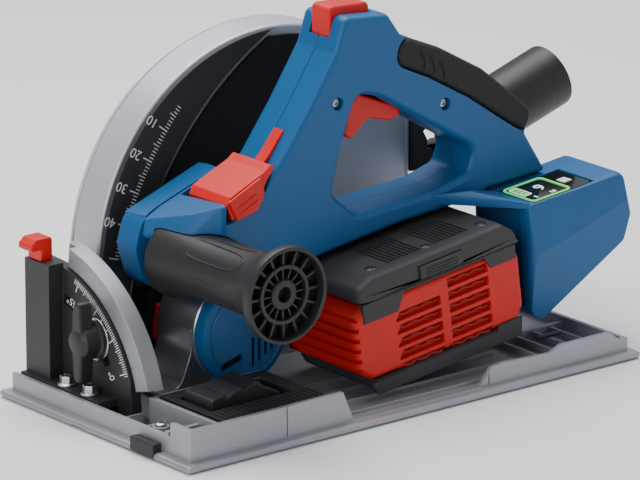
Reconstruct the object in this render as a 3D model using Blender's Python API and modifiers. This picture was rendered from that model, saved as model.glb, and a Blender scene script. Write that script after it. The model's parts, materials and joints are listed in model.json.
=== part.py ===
# Cordless track plunge saw, modelled as an assembly in its own frame.
# Sizes are in millimetres, and the helpers turn them into metres.
# -X is the cutting direction, -Y the motor side, +Z up. The origin is the middle of the sole.
import math

import bmesh
import bpy
from mathutils import Matrix, Vector

MM = 0.001
GAP = 0.3                      # between pieces that touch or seat in each other

# Base
BASE_LENGTH = 341.0
BASE_WIDTH = 182.0
PLATE_T = 4.5
FLANGE = 6.0                   # how far the plate stands out of the walls
WALL_T = 3.0
WALL_H = 23.5
FRONT_WALL_H = 15.0
PAD_X0 = -137.0                # black grip pad beside the near wall
PAD_X1 = -61.0
PAD_Y1 = -20.0
RAIL_KNOB = (121.0, -63.0, 17.4)    # x, y and radius
REAR_WALL_H = 12.5
WINDOW_Y0 = 38.0               # near edge of the window under blade and gear case

# Blade and plunge
BLADE_R = 70.0
BLADE_T = 1.8
BLADE_Y = 73.0
CUT_DEPTH = 52.0
PIVOT_X = 104.0
PIVOT_Z = 16.0
ARM = 104.0                    # plunge pivot to arbor, along X, at full depth
PIN_R = 5.0
LUG_R = 11.0

# Gear train
MODULE = 1.5
ARBOR_TEETH = 17
IDLER_TEETH = 29
PINION_TEETH = 13
TRAIN_ANGLE = 159.0            # direction from arbor to motor, from +X towards +Z
GEAR_Y0 = 47.0
GEAR_T = 6.0
CASE_Y0 = 44.0
CASE_Y1 = 58.0

# Motor
MOTOR_R = 32.0
MOTOR_WALL = 2.6
MOTOR_Y0 = -6.0
MOTOR_Y1 = 39.5

# Guard
GUARD_X = 6.0
GUARD_Z = 74.0
GUARD_R = 127.0
GUARD_Y0 = 59.0
GUARD_Y1 = 84.0
GUARD_REAR = 115.0
GUARD_WALL = 2.5
COVER_T = 2.5
NEAR_BOTTOM = 9.0
FAR_BOTTOM = 27.0
LINER_T = 2.0
SCALE_T = 3.6
SCALE_R = 205.0                # inner edge of the depth scale, about the plunge pivot

# Bevel quadrants
QUAD_R = 84.0
BAND_W = 12.0
QUAD_X = 140.0                 # inner face of the front bracket
QUAD_T = 7.0
TRUNNION_T = 6.4
REAR_QUAD_R = 54.0

# Head
HEAD_Y = -5.0                  # parting plane of the handle shells
HEAD_HALF = 19.0
ARM_Y1 = 42.0
AUX_X = -98.0
AUX_Z = 91.0
AUX_Y0 = 13.0
AUX_LENGTH = 103.0
AUX_R = 19.5
AUX_DISC_R = 28.5
REAR_Y0 = -62.0
REAR_Y1 = -8.0
REAR_WALL = 3.0

# Battery
BATT_X = 38.0
BATT_Z = 50.5
BATT_L = 119.0
BATT_H = 74.0
BATT_Y0 = -66.0
BATT_Y1 = 8.0
BATT_TILT = 7.7

# Dust port
PORT_R = 20.0
PORT_WALL = 2.6
PORT_LENGTH = 62.0
PORT_AT = (148.0, 45.0, 117.0)
PORT_RISE = 18.0

ARBOR_X = PIVOT_X - ARM
ARBOR_Z = BLADE_R - CUT_DEPTH
ARBOR_PITCH = MODULE * ARBOR_TEETH / 2
IDLER_PITCH = MODULE * IDLER_TEETH / 2
PINION_PITCH = MODULE * PINION_TEETH / 2
TRAIN = (math.cos(math.radians(TRAIN_ANGLE)), math.sin(math.radians(TRAIN_ANGLE)))
IDLER_AT = ARBOR_PITCH + IDLER_PITCH
MOTOR_AT = IDLER_AT + IDLER_PITCH + PINION_PITCH
IDLER_X = ARBOR_X + IDLER_AT * TRAIN[0]
IDLER_Z = ARBOR_Z + IDLER_AT * TRAIN[1]
MOTOR_X = ARBOR_X + MOTOR_AT * TRAIN[0]
MOTOR_Z = ARBOR_Z + MOTOR_AT * TRAIN[1]
HALF_L = BASE_LENGTH / 2
HALF_W = BASE_WIDTH / 2
REAR_PAD_X = QUAD_X - TRUNNION_T - 2 * GAP
BRACKET_Y1 = HALF_W - FLANGE - WALL_T - 0.5

for old in list(bpy.data.objects):
    bpy.data.objects.remove(old, do_unlink=True)

PARTS = bpy.data.collections.new("track_plunge_saw")
CUTTERS = bpy.data.collections.new("cutters")
bpy.context.scene.collection.children.link(PARTS)
bpy.context.scene.collection.children.link(CUTTERS)


def make_material(name, colour, roughness, metallic=0.0):
    material = bpy.data.materials.new(name)
    material.use_nodes = True
    shader = material.node_tree.nodes["Principled BSDF"]
    shader.inputs["Base Color"].default_value = (*colour, 1.0)
    shader.inputs["Roughness"].default_value = roughness
    shader.inputs["Metallic"].default_value = metallic
    return material


ALUMINIUM = make_material("cast_aluminium", (0.55, 0.56, 0.6), 0.45, 0.9)
BLACK = make_material("black_casting", (0.03, 0.03, 0.032), 0.5)
PLASTIC = make_material("black_plastic", (0.02, 0.02, 0.022), 0.45)
BLUE = make_material("blue_plastic", (0.008, 0.11, 0.3), 0.5)
RED = make_material("red_plastic", (0.72, 0.03, 0.015), 0.45)
GREY = make_material("dark_grey_plastic", (0.055, 0.055, 0.06), 0.55)
RUBBER = make_material("black_rubber", (0.015, 0.015, 0.016), 0.75)
STEEL = make_material("bright_steel", (0.6, 0.6, 0.62), 0.3, 1.0)
COPPER = make_material("copper_winding", (0.6, 0.26, 0.1), 0.4, 0.8)
BOARD = make_material("green_board", (0.02, 0.16, 0.07), 0.5)


# ---------------------------------------------------------------- helpers

def store(name, mesh, material, cutter=False):
    obj = bpy.data.objects.new(name, mesh)
    if cutter:
        CUTTERS.objects.link(obj)
        obj.hide_render = True
        obj.display_type = "WIRE"
    else:
        PARTS.objects.link(obj)
        mesh.materials.clear()
        mesh.materials.append(material)
    return obj


def mesh_from(bm, name):
    bmesh.ops.recalc_face_normals(bm, faces=bm.faces)
    mesh = bpy.data.meshes.new(name)
    bm.to_mesh(mesh)
    bm.free()
    return mesh


def box(name, low, high, material=None):
    bm = bmesh.new()
    bmesh.ops.create_cube(bm, size=1.0)
    size = [(b - a) * MM for a, b in zip(low, high)]
    middle = [(a + b) / 2 * MM for a, b in zip(low, high)]
    matrix = Matrix.Translation(middle) @ Matrix.Diagonal((*size, 1.0))
    bmesh.ops.transform(bm, matrix=matrix, verts=bm.verts)
    return store(name, mesh_from(bm, name), material, material is None)


def axis_matrix(axis):
    return Vector((0, 0, 1)).rotation_difference(Vector(axis).normalized()).to_matrix().to_4x4()


def rod(name, start, axis, length, radius, material=None, top=None, sides=28):
    bm = bmesh.new()
    end_radius = radius if top is None else top
    bmesh.ops.create_cone(bm, cap_ends=True, segments=sides, radius1=radius * MM,
                          radius2=end_radius * MM, depth=length * MM)
    lift = Matrix.Translation((0, 0, length / 2 * MM))
    place = Matrix.Translation(Vector(start) * MM)
    bmesh.ops.transform(bm, matrix=place @ axis_matrix(axis) @ lift, verts=bm.verts)
    return store(name, mesh_from(bm, name), material, material is None)


def outline(name, points, low, high, material=None, normal="Y"):
    """A flat outline as a filled 2D curve, given its thickness and turned upright."""
    curve = bpy.data.curves.new(name, "CURVE")
    curve.dimensions = "2D"
    curve.fill_mode = "BOTH"
    curve.extrude = (high - low) / 2 * MM
    spline = curve.splines.new("POLY")
    spline.points.add(len(points) - 1)
    for point, (u, v) in zip(spline.points, points):
        point.co = (u * MM, v * MM, 0, 1)
    spline.use_cyclic_u = True
    guide = bpy.data.objects.new(name + "_curve", curve)
    CUTTERS.objects.link(guide)
    evaluated = guide.evaluated_get(bpy.context.evaluated_depsgraph_get())
    mesh = bpy.data.meshes.new_from_object(evaluated)
    bpy.data.objects.remove(guide, do_unlink=True)
    middle = (low + high) / 2 * MM
    turns = {"X": Matrix(((0, 0, 1, middle), (1, 0, 0, 0), (0, 1, 0, 0), (0, 0, 0, 1))),
             "Y": Matrix(((1, 0, 0, 0), (0, 0, -1, middle), (0, 1, 0, 0), (0, 0, 0, 1))),
             "Z": Matrix.Translation((0, 0, middle))}
    bm = bmesh.new()
    bm.from_mesh(mesh)
    bmesh.ops.remove_doubles(bm, verts=bm.verts, dist=1e-6)
    bmesh.ops.transform(bm, matrix=turns[normal], verts=bm.verts)
    bpy.data.meshes.remove(mesh)
    return store(name, mesh_from(bm, name), material, material is None)


def turned(name, profile, start, axis, material=None, steps=32):
    """A lathe shape: radius and height pairs, top first, spun by a Screw modifier."""
    mesh = bpy.data.meshes.new(name)
    points = [(radius * MM, 0, height * MM) for radius, height in profile]
    closed = profile[0][0] > 0
    edges = [(i, i + 1) for i in range(len(points) - 1)]
    if closed:
        edges.append((len(points) - 1, 0))
    mesh.from_pydata(points, edges, [])
    obj = store(name, mesh, material, material is None)
    obj.matrix_world = Matrix.Translation(Vector(start) * MM) @ axis_matrix(axis)
    screw = obj.modifiers.new("spin", "SCREW")
    screw.steps = steps
    screw.render_steps = steps
    screw.use_merge_vertices = True
    screw.merge_threshold = 1e-5
    screw.use_normal_calculate = False
    return obj


def combine(target, others, operation="DIFFERENCE"):
    for other in others:
        boolean = target.modifiers.new(operation.lower(), "BOOLEAN")
        boolean.operation = operation
        boolean.object = other
        boolean.solver = "EXACT"
    return target


def cut(target, *cutters):
    return combine(target, cutters)


def join(target, *others):
    return combine(target, others, "UNION")


def soften(obj, width, segments=1, angle=35.0):
    bevel = obj.modifiers.new("round", "BEVEL")
    bevel.width = width * MM
    bevel.segments = segments
    bevel.limit_method = "ANGLE"
    bevel.angle_limit = math.radians(angle)
    return obj


def set_pivot(obj, point):
    """Move the object's origin onto its joint axis, leaving the shape where it is."""
    bpy.context.view_layer.update()
    target = Vector(point) * MM
    offset = obj.matrix_world.inverted() @ target
    obj.data.transform(Matrix.Translation(-offset))
    obj.location = target
    return obj


def tip(obj, point, axis, degrees):
    """Turn the shape about a point, in its mesh."""
    centre = Matrix.Translation(Vector(point) * MM)
    turn = Matrix.Rotation(math.radians(degrees), 4, Vector(axis))
    obj.data.transform(obj.matrix_world.inverted() @ centre @ turn @ centre.inverted() @ obj.matrix_world)
    return obj


def arc(cx, cz, radius, first, last, steps):
    """Points on a circle from one angle to another, in degrees."""
    turn = [math.radians(first + (last - first) * i / steps) for i in range(steps + 1)]
    return [(cx + radius * math.cos(a), cz + radius * math.sin(a)) for a in turn]


def fillet(corners, steps=3):
    """Round the corners of a polygon given as (u, v, radius)."""
    points = []
    count = len(corners)
    for i, (u, v, radius) in enumerate(corners):
        here = Vector((u, v))
        before = Vector(corners[i - 1][:2]) - here
        after = Vector(corners[(i + 1) % count][:2]) - here
        if radius <= 0:
            points.append((u, v))
            continue
        half = before.angle(after) / 2
        reach = min(radius / math.tan(half), before.length * 0.48, after.length * 0.48)
        radius = reach * math.tan(half)
        start = here + before.normalized() * reach
        end = here + after.normalized() * reach
        centre = here + (before.normalized() + after.normalized()).normalized() * radius / math.sin(half)
        first = start - centre
        sweep = first.angle_signed(end - centre)
        for k in range(steps + 1):
            turn = Matrix.Rotation(-sweep * k / steps, 2)
            points.append(tuple(centre + turn @ first))
    return points


def grown(points, amount):
    """A clockwise outline with every corner moved outwards."""
    moved = []
    for i, (u, v) in enumerate(points):
        along = (Vector(points[(i + 1) % len(points)]) - Vector(points[i - 1])).normalized()
        moved.append((u - along.y * amount, v + along.x * amount))
    return moved


def sector(inner, outer, first, last, steps=12, cx=PIVOT_X, cz=PIVOT_Z):
    return arc(cx, cz, outer, first, last, steps) + arc(cx, cz, inner, last, first, steps)


def gear_points(teeth, cx, cz, phase):
    """Tapered teeth with backlash: a tooth is centred on the phase angle."""
    pitch = MODULE * teeth / 2
    levels = ((pitch - 1.25 * MODULE, -0.38), (pitch + 0.85 * MODULE, -0.13),
              (pitch + 0.85 * MODULE, 0.13), (pitch - 1.25 * MODULE, 0.38))
    points = []
    for tooth in range(teeth):
        for radius, shift in levels:
            angle = math.radians(phase + (tooth + shift) * 360.0 / teeth)
            points.append((cx + radius * math.cos(angle), cz + radius * math.sin(angle)))
    return points


# ---------------------------------------------------------------- base

def build_base():
    wall = HALF_W - FLANGE
    end = HALF_L - FLANGE
    plate = box("base_plate", (-HALF_L, -HALF_W, 0), (HALF_L, HALF_W, PLATE_T), ALUMINIUM)
    soften(plate, 4.0, 2)
    walls = {
        "near": ((-end, -wall), (end, -wall + WALL_T), WALL_H),
        "front": ((-end, -wall), (-end + WALL_T, wall), FRONT_WALL_H),
        "rear": ((end - WALL_T, -wall), (end, wall), REAR_WALL_H),
        "far": ((-end, wall - WALL_T), (end, wall), PLATE_T + 3.0),
        "front_rib": ((-end, -64), (PAD_X0 - 4.0, -64 + WALL_T), WALL_H - 6),
        "front_box": ((-end, -66), (-end + WALL_T, -wall), WALL_H),
        "pad_front": ((PAD_X0 - 5.0, -wall), (PAD_X0 - 2.0, PAD_Y1 + 2.5), WALL_H - 2),
        "pad_far": ((PAD_X0 - 5.0, PAD_Y1 + 0.8), (PAD_X1, PAD_Y1 + 2.8), WALL_H - 2),
        "rear_rib": ((100, -30), (end, -27), REAR_WALL_H - 3),
    }
    for key, ((x0, y0), (x1, y1), height) in walls.items():
        low = (x0, min(y0, y1), PLATE_T - 1.0)
        join(plate, box("wall_" + key, low, (x1, max(y0, y1), height)))
    post = rod("screw_post", (-155, -45, PLATE_T - 1), (0, 0, 1), 11.0, 5.0, sides=16)
    join(plate, post)
    cut(plate, rod("screw_post_bore", (-155, -45, PLATE_T + 2), (0, 0, 1), 20.0, 2.2, sides=12))
    window = box("base_window", (-96, WINDOW_Y0, -5), (PIVOT_X + 20, BLADE_Y + 10, WALL_H))
    notch = outline("battery_notch", [(-56, WALL_H + 5), (-46, PLATE_T + 0.6), (49, PLATE_T + 0.6),
                                      (58, REAR_WALL_H + 3), (70, WALL_H + 5)], -HALF_W + 1, -wall + 5)
    rear_drop = outline("rear_notch", [(57, WALL_H + 5), (58, REAR_WALL_H + 3), (68, REAR_WALL_H + 4),
                                       (104, REAR_WALL_H + 2.4), (112, WALL_H - 5), (150, WALL_H - 5),
                                       (158, REAR_WALL_H),
                                       (end + 4, REAR_WALL_H), (end + 4, WALL_H + 5)],
                        -HALF_W + 1, -wall + 5)
    groove = box("rail_groove", (-HALF_L - 5, 8, -5), (HALF_L + 5, 20, 1.4))
    bolt_notch = box("bolt_notch", (ARBOR_X - 18, BLADE_Y, -5), (ARBOR_X + 24, HALF_W + 5, WALL_H))
    cut(plate, window, notch, rear_drop, groove, bolt_notch)

    pad = box("rail_grip_pad", (PAD_X0, -wall + WALL_T + 0.5, PLATE_T + GAP), (PAD_X1, PAD_Y1, WALL_H - 1),
              PLASTIC)
    cut(pad, box("lever_well", (-131.5, -61.5, 10), (-72.5, -30.5, WALL_H + 5)))
    soften(pad, 0.8)

    lever = outline("rail_clamp_lever", [(-129, 12), (-129, 27), (-118, 29), (-98, 33), (-82, 24),
                                         (-77, 22), (-77, 12)], -59, -33, PLASTIC)
    soften(lever, 1.2, 2)
    set_pivot(lever, (-79.5, -46, 14.5))

    strip = box("splinter_guard", (-150, HALF_W - 4.2, 0.1), (-24, HALF_W - 0.4, 6.5), PLASTIC)
    cut(plate, box("splinter_seat", (-150 - GAP, HALF_W - 4.5, -5), (-24 + GAP, HALF_W + 5, 9)))
    soften(strip, 0.5)

    insert = box("front_insert", (-HALF_L - 0.2, -58, 1.0), (-end - GAP, -36, 9.5), PLASTIC)
    cut(plate, box("insert_seat", (-HALF_L - 5, -58 - GAP, 1.0 - GAP), (-end, -36 + GAP, 15)))
    soften(insert, 0.6)


def fluted(name, centre, radius, flutes, low, high, material):
    """A flat round knob with flutes round its edge."""
    points = []
    for i in range(flutes * 4):
        turn = 2 * math.pi * i / (flutes * 4)
        reach = radius - 1.1 * (0.5 + 0.5 * math.cos(flutes * turn))
        points.append((centre[0] + reach * math.cos(turn), centre[1] + reach * math.sin(turn)))
    return outline(name, points, low, high, material, "Z")


def build_rail_knob():
    x, y, radius = RAIL_KNOB
    knob = fluted("rail_knob", (x, y), radius, 12, PLATE_T + 2.5, REAR_WALL_H + 1.0, PLASTIC)
    join(knob, rod("rail_knob_stem", (x, y, PLATE_T + GAP), (0, 0, 1), 5.0, 7.0, sides=20))
    set_pivot(knob, (x, y, PLATE_T))


def build_bevel():
    tilt = (BLADE_Y, 0.0)
    foot_top = 16.0
    for side, radius, name in ((-1, QUAD_R, "front"), (1, REAR_QUAD_R, "rear")):
        inner = side * QUAD_X
        outer = side * (QUAD_X + QUAD_T)
        low, high = min(inner, outer), max(inner, outer)
        near_foot = tilt[0] - radius + 3
        face = arc(*tilt, radius, 100, 160, 14) + [(near_foot, PLATE_T + GAP), (BRACKET_Y1, PLATE_T + GAP),
                                                   (BRACKET_Y1, radius - 22), (BRACKET_Y1, radius - 6),
                                                   (tilt[0] + 6, radius)]
        bracket = outline(name + "_bevel_bracket", face, low, high, BLACK, "X")
        foot_out = side * (HALF_L - FLANGE - WALL_T - 0.5)
        foot = box(name + "_foot", (min(inner, foot_out), near_foot + 14, PLATE_T + GAP),
                   (max(inner, foot_out), BRACKET_Y1, foot_top))
        join(bracket, foot)
        if side < 0:
            post = box("front_post", (low - 10, 58, foot_top - 2), (low + 1.2, BRACKET_Y1, QUAD_R + 1))
            cut(post, box("band_room", (low + 0.8, 50, QUAD_R - 2.5), (low + 5, HALF_W, QUAD_R + 5)))
            join(bracket, post)
            cut(bracket, box("button_well", (low - 7.6, 66, QUAD_R - 18), (low - 1.6, 80, QUAD_R + 5)))
        slot_mid = (radius - BAND_W - 6)
        cut(bracket, outline(name + "_arc_slot", sector(slot_mid - 3.2, slot_mid + 3.2, 104, 150, 8, *tilt),
                             low - 5, high + 5, None, "X"))
        trunnion_low = side * (QUAD_X - GAP - TRUNNION_T)
        trunnion_high = side * (QUAD_X - GAP)
        t0, t1 = min(trunnion_low, trunnion_high), max(trunnion_low, trunnion_high)
        reach = radius + BAND_W
        body = arc(*tilt, reach, 97, 165, 14) + [(tilt[0] - 12, 9), (tilt[0] - 3, 14)]
        trunnion = outline(name + "_trunnion", body, t0, t1, ALUMINIUM, "X")
        band_ends = sorted((side * (QUAD_X + 5.0), side * (QUAD_X - GAP - 3.0)))
        band = outline(name + "_band", sector(radius + 0.4, reach - 0.05, 101.5, 164.5, 14, *tilt),
                       *band_ends, None, "X")
        join(trunnion, band)
        set_pivot(trunnion, (0, BLADE_Y, 0))


def guard_outline(radius, rear, bottom, steps=22):
    """The guard's side view: a big arc down to the front, and a straight rear edge."""
    last = 360 - math.degrees(math.acos(max(-1.0, min(1.0, (GUARD_Z - bottom) / radius)))) - 90
    first = math.degrees(math.acos((rear - GUARD_X) / radius))
    return arc(GUARD_X, GUARD_Z, radius, first, last, steps) + [(rear, bottom)]


def build_guard():
    guard = outline("blade_guard", guard_outline(GUARD_R, GUARD_REAR, NEAR_BOTTOM),
                    GUARD_Y0, GUARD_Y1, ALUMINIUM)
    inside = outline("guard_inside", guard_outline(GUARD_R - GUARD_WALL, GUARD_REAR - GUARD_WALL, -20),
                     GUARD_Y0 + GUARD_WALL, GUARD_Y1 + 5)
    boss_sweep = outline("boss_sweep", sector(ARM - 18, ARM + 18, 132, 193, 14), GUARD_Y0 - 5,
                         GUARD_Y0 + GUARD_WALL + 1)
    far_trim = box("far_trim", (-150, GUARD_Y0 + GUARD_WALL + 8, -10), (150, GUARD_Y1 + 5, FAR_BOTTOM))
    front_lug = box("front_lug", (-QUAD_X + TRUNNION_T + 2 * GAP, GUARD_Y0 + GUARD_WALL - 1, 22),
                    (-GUARD_R + GUARD_X + 6, 79, 66))
    duct_hole = box("duct_hole", (GUARD_REAR - 10, 64, 102), (GUARD_REAR + 5, 80, 128))
    pin_hole = rod("guard_pin_hole", (PIVOT_X, GUARD_Y0 - 5, PIVOT_Z), (0, 1, 0), 12, PIN_R + GAP)
    rear_pad = outline("guard_rear_pad", [(84, NEAR_BOTTOM), (REAR_PAD_X, NEAR_BOTTOM), (REAR_PAD_X, 40),
                                          (84, 40)], GUARD_Y0, GUARD_Y0 + GUARD_WALL)
    join(guard, front_lug, rear_pad)
    cut(guard, inside, boss_sweep, far_trim, duct_hole, pin_hole)
    cut(guard, box("lug_core", (-GUARD_R, GUARD_Y0 + GUARD_WALL, FAR_BOTTOM), (-100, 77, 60)))
    set_pivot(guard, (0, BLADE_Y, 0))

    cover = outline("guard_cover", guard_outline(GUARD_R, GUARD_REAR, FAR_BOTTOM), GUARD_Y1 + GAP,
                    GUARD_Y1 + GAP + COVER_T, ALUMINIUM)
    lip = outline("cover_lip", guard_outline(GUARD_R - GUARD_WALL - 0.5, GUARD_REAR - GUARD_WALL - 0.5,
                                             FAR_BOTTOM + 3), GUARD_Y1 - 2.0, GUARD_Y1 + GAP + 1)
    hollow = outline("cover_hollow", guard_outline(GUARD_R - GUARD_WALL - 3, GUARD_REAR - GUARD_WALL - 3,
                                                   FAR_BOTTOM - 5), GUARD_Y1 - 5, GUARD_Y1 + GAP)
    window = outline("bolt_window", sector(ARM - 13, ARM + 13, 136, 170, 10), GUARD_Y1 - 5, GUARD_Y1 + 8)
    join(cover, lip)
    cut(cover, hollow, window)
    set_pivot(cover, (0, BLADE_Y, 0))

    liner = outline("recess_liner", guard_outline(GUARD_R - 6, GUARD_REAR - 6, NEAR_BOTTOM + 2),
                    GUARD_Y0 - GAP - LINER_T, GUARD_Y0 - GAP, PLASTIC)
    keep = rod("liner_keep", (PIVOT_X, 0, PIVOT_Z), (0, 1, 0), 100, SCALE_R - 0.6, sides=72)
    combine(liner, [keep], "INTERSECT")
    inner = rod("liner_inner", (PIVOT_X, 0, PIVOT_Z), (0, 1, 0), 100, ARM + 20, sides=48)
    cut(liner, inner)
    set_pivot(liner, (0, BLADE_Y, 0))

    scale = outline("depth_scale_plate", guard_outline(GUARD_R - 1.0, GUARD_REAR - 1, NEAR_BOTTOM + 1, 30),
                    GUARD_Y0 - GAP - SCALE_T, GUARD_Y0 - GAP, PLASTIC)
    cut(scale, rod("scale_inner", (PIVOT_X, 0, PIVOT_Z), (0, 1, 0), 100, SCALE_R, sides=72))
    set_pivot(scale, (0, BLADE_Y, 0))

    turned("plunge_pin", [(0, 24.3), (8, 24.3), (8, 21.3), (PIN_R, 21.3), (PIN_R, 0), (0, 0)],
           (PIVOT_X, GUARD_Y0 + GUARD_WALL + 3.5, PIVOT_Z), (0, -1, 0), STEEL, 24)


def build_depth_stop():
    stop_in, stop_out = SCALE_R - 19.0, SCALE_R - 2.5
    y0, y1 = CASE_Y0 + 0.6, GUARD_Y0 - GAP - LINER_T - 0.6
    block = outline("depth_stop", sector(stop_in, stop_out, 166, 180, 8), y0, y1, PLASTIC)
    for i in range(7):
        angle = math.radians(167.2 + 1.9 * i)
        groove = rod("stop_rib_%d" % i, (PIVOT_X + (stop_out + 0.3) * math.cos(angle), y0 - 5,
                                         PIVOT_Z + (stop_out + 0.3) * math.sin(angle)), (0, 1, 0), 30,
                                         1.5, sides=8)
        cut(block, groove)
    well = outline("stop_well", sector(stop_in - 3, stop_out - 5, 169, 176, 6), y0 - 4, y0 + 6)
    cut(block, well)
    pointer = outline("stop_pointer", sector(stop_out - 1, SCALE_R + 7, 164.6, 166.6, 2), y0 + 2, y0 + 6)
    join(block, pointer)
    set_pivot(block, (PIVOT_X, 50, PIVOT_Z))
    button = outline("depth_stop_button", sector(stop_in + 0.5, stop_out - 5.5, 169.3, 175.7, 6), y0 - 2.5,
                     y0 + 2.8, RED)
    soften(button, 0.8)
    set_pivot(button, (PIVOT_X, y0, PIVOT_Z))


def build_dust_path():
    duct = outline("dust_duct", fillet([(GUARD_REAR + GAP, 92, 0), (GUARD_REAR + GAP, 134, 0),
                                        (140, 138, 5), (146, 138, 0), (154, 106, 0), (128, 96, 8)]),
                   44 - 18, GUARD_Y1 - 2, GREY)
    trim = outline("duct_trim", [(100, 20), (131, 20), (131, 40), (116, 58), (100, 58)], 80, 150, None, "Z")
    trim_far = outline("duct_trim_far", [(122, 90), (136, 68), (170, 62), (170, 90)], 80, 150, None, "Z")
    core = outline("duct_core", [(GUARD_REAR - 5, 100), (GUARD_REAR - 5, 130), (138, 133), (146, 112),
                                 (128, 101)], 61, 79)
    rise = math.radians(PORT_RISE)
    back = Vector(PORT_AT) - Vector((math.cos(rise), 0, math.sin(rise))) * 26
    bore = rod("duct_bore", back, (math.cos(rise), 0, math.sin(rise)), 60, PORT_R - PORT_WALL - 5, sides=24)
    cross = box("duct_cross", (122, 45, 107), (141, 70, 127))
    cut(duct, trim, trim_far, core, bore, cross)
    set_pivot(duct, (0, BLADE_Y, 0))
    profile = [(PORT_R - PORT_WALL, PORT_LENGTH), (PORT_R - 0.6, PORT_LENGTH), (PORT_R, PORT_LENGTH - 0.8),
               (PORT_R, 12.0), (PORT_R + 1.6, 10.0), (PORT_R + 1.6, 0.8), (PORT_R - PORT_WALL, 0.8)]
    axis = (math.cos(rise), 0, math.sin(rise))
    start = Vector(PORT_AT) + Vector(axis) * 8
    turned("dust_port", profile, start, axis, PLASTIC, 28)


def build_bevel_hardware():
    for side, radius, name, wing in ((-1, QUAD_R, "front", 24.0), (1, REAR_QUAD_R, "rear", 8.3)):
        mid = radius - BAND_W - 6
        y = BLADE_Y - mid * math.cos(math.radians(45))
        z = mid * math.sin(math.radians(45))
        axis = (side, 0, 0)
        start = (side * (QUAD_X + QUAD_T + GAP), y, z)
        knob = turned(name + "_bevel_knob", [(0, 15), (7, 15), (9, 13.5), (9, 3), (9.2, 0), (0, 0)],
                      start, axis, PLASTIC, 24)
        x0, x1 = sorted((start[0] + side * 5, start[0] + side * 14))
        join(knob, box(name + "_wing", (x0, y - 3.6, z - wing), (x1, y + 3.6, z + wing)))
        stem = rod(name + "_stem", (side * (QUAD_X + QUAD_T + 4), y, z), (-side, 0, 0),
                   QUAD_T + 4 - GAP, 2.8, sides=16)
        join(knob, stem)
        set_pivot(knob, (start[0], y, z))
    hook = outline("undercut_button", fillet([(-156, 85.4, 0), (-147.6, 85.4, 0), (-147.6, 99, 1.5),
                                              (-159, 99, 1.5), (-163, 95.5, 1), (-163, 92, 0), (-156,
                                                      92, 0)], 2),
                   66.5, 79.5, RED)
    join(hook, box("button_stem", (-154.2, 66.5, 70), (-149.0, 79.5, 86)))
    soften(hook, 0.8)
    set_pivot(hook, (-151, 73, 84))
    for i, y in enumerate((22.0, 44.0)):
        bolt = turned("bracket_bolt_%s" % "ab"[i], [(0, 5.6), (4.6, 5.6), (5.2, 5.0), (5.2, 1.6), (7.6, 0.9),
                                                    (7.6, 0), (0, 0)], (-155.2, y, 16 + GAP), (0, 0,
                                                            1), STEEL, 20)
        cut(bolt, rod("torx_%d" % i, (-155.2, y, 19.0 + GAP), (0, 0, 1), 5, 2.6, sides=6))


def build_gears():
    phase = TRAIN_ANGLE
    arbor_gear = outline("arbor_gear", gear_points(ARBOR_TEETH, ARBOR_X, ARBOR_Z, phase), GEAR_Y0,
                         GEAR_Y0 + GEAR_T, STEEL)
    cut(arbor_gear, rod("arbor_gear_bore", (ARBOR_X, GEAR_Y0 - 5, ARBOR_Z), (0, 1, 0), 20, 5.5, sides=20))
    idler_phase = TRAIN_ANGLE + 180 + 180 / IDLER_TEETH
    idler = outline("idler_gear", gear_points(IDLER_TEETH, IDLER_X, IDLER_Z, idler_phase), GEAR_Y0,
                    GEAR_Y0 + GEAR_T, STEEL)
    join(idler, rod("idler_shaft", (IDLER_X, GEAR_Y0 - 0.7, IDLER_Z), (0, 1, 0), GEAR_T + 1.4, 4.0, sides=20))
    offset = (TRAIN_ANGLE - idler_phase) % (360 / IDLER_TEETH)
    pinion_phase = TRAIN_ANGLE + 180 + offset * IDLER_TEETH / PINION_TEETH + 180 / PINION_TEETH
    rotor = outline("rotor", gear_points(PINION_TEETH, MOTOR_X, MOTOR_Z, pinion_phase), GEAR_Y0,
                    GEAR_Y0 + GEAR_T, STEEL)
    join(rotor, rod("rotor_shaft", (MOTOR_X, 0, MOTOR_Z), (0, 1, 0), GEAR_Y0 + 1, 3.0, sides=20),
         rod("rotor_core", (MOTOR_X, 7.5, MOTOR_Z), (0, 1, 0), 21, 13.0, sides=24))
    fan = turned("cooling_fan", [(4.2, 6), (8, 6), (8, 2), (25, 2), (25, 0), (4.2, 0)],
                 (MOTOR_X, 31.0, MOTOR_Z), (0, 1, 0), PLASTIC, 24)
    for i in range(8):
        blade = box("fan_blade_%d" % i, (MOTOR_X + 7, 32.0, MOTOR_Z - 0.8), (MOTOR_X + 24, 37.5,
                MOTOR_Z + 0.8))
        tip(blade, (MOTOR_X, 35, MOTOR_Z), (0, 1, 0), 45 * i + 10)
        join(fan, blade)
    set_pivot(arbor_gear, (ARBOR_X, GEAR_Y0, ARBOR_Z))
    set_pivot(idler, (IDLER_X, GEAR_Y0, IDLER_Z))
    for piece in (rotor, fan):
        set_pivot(piece, (MOTOR_X, GEAR_Y0, MOTOR_Z))


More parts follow.
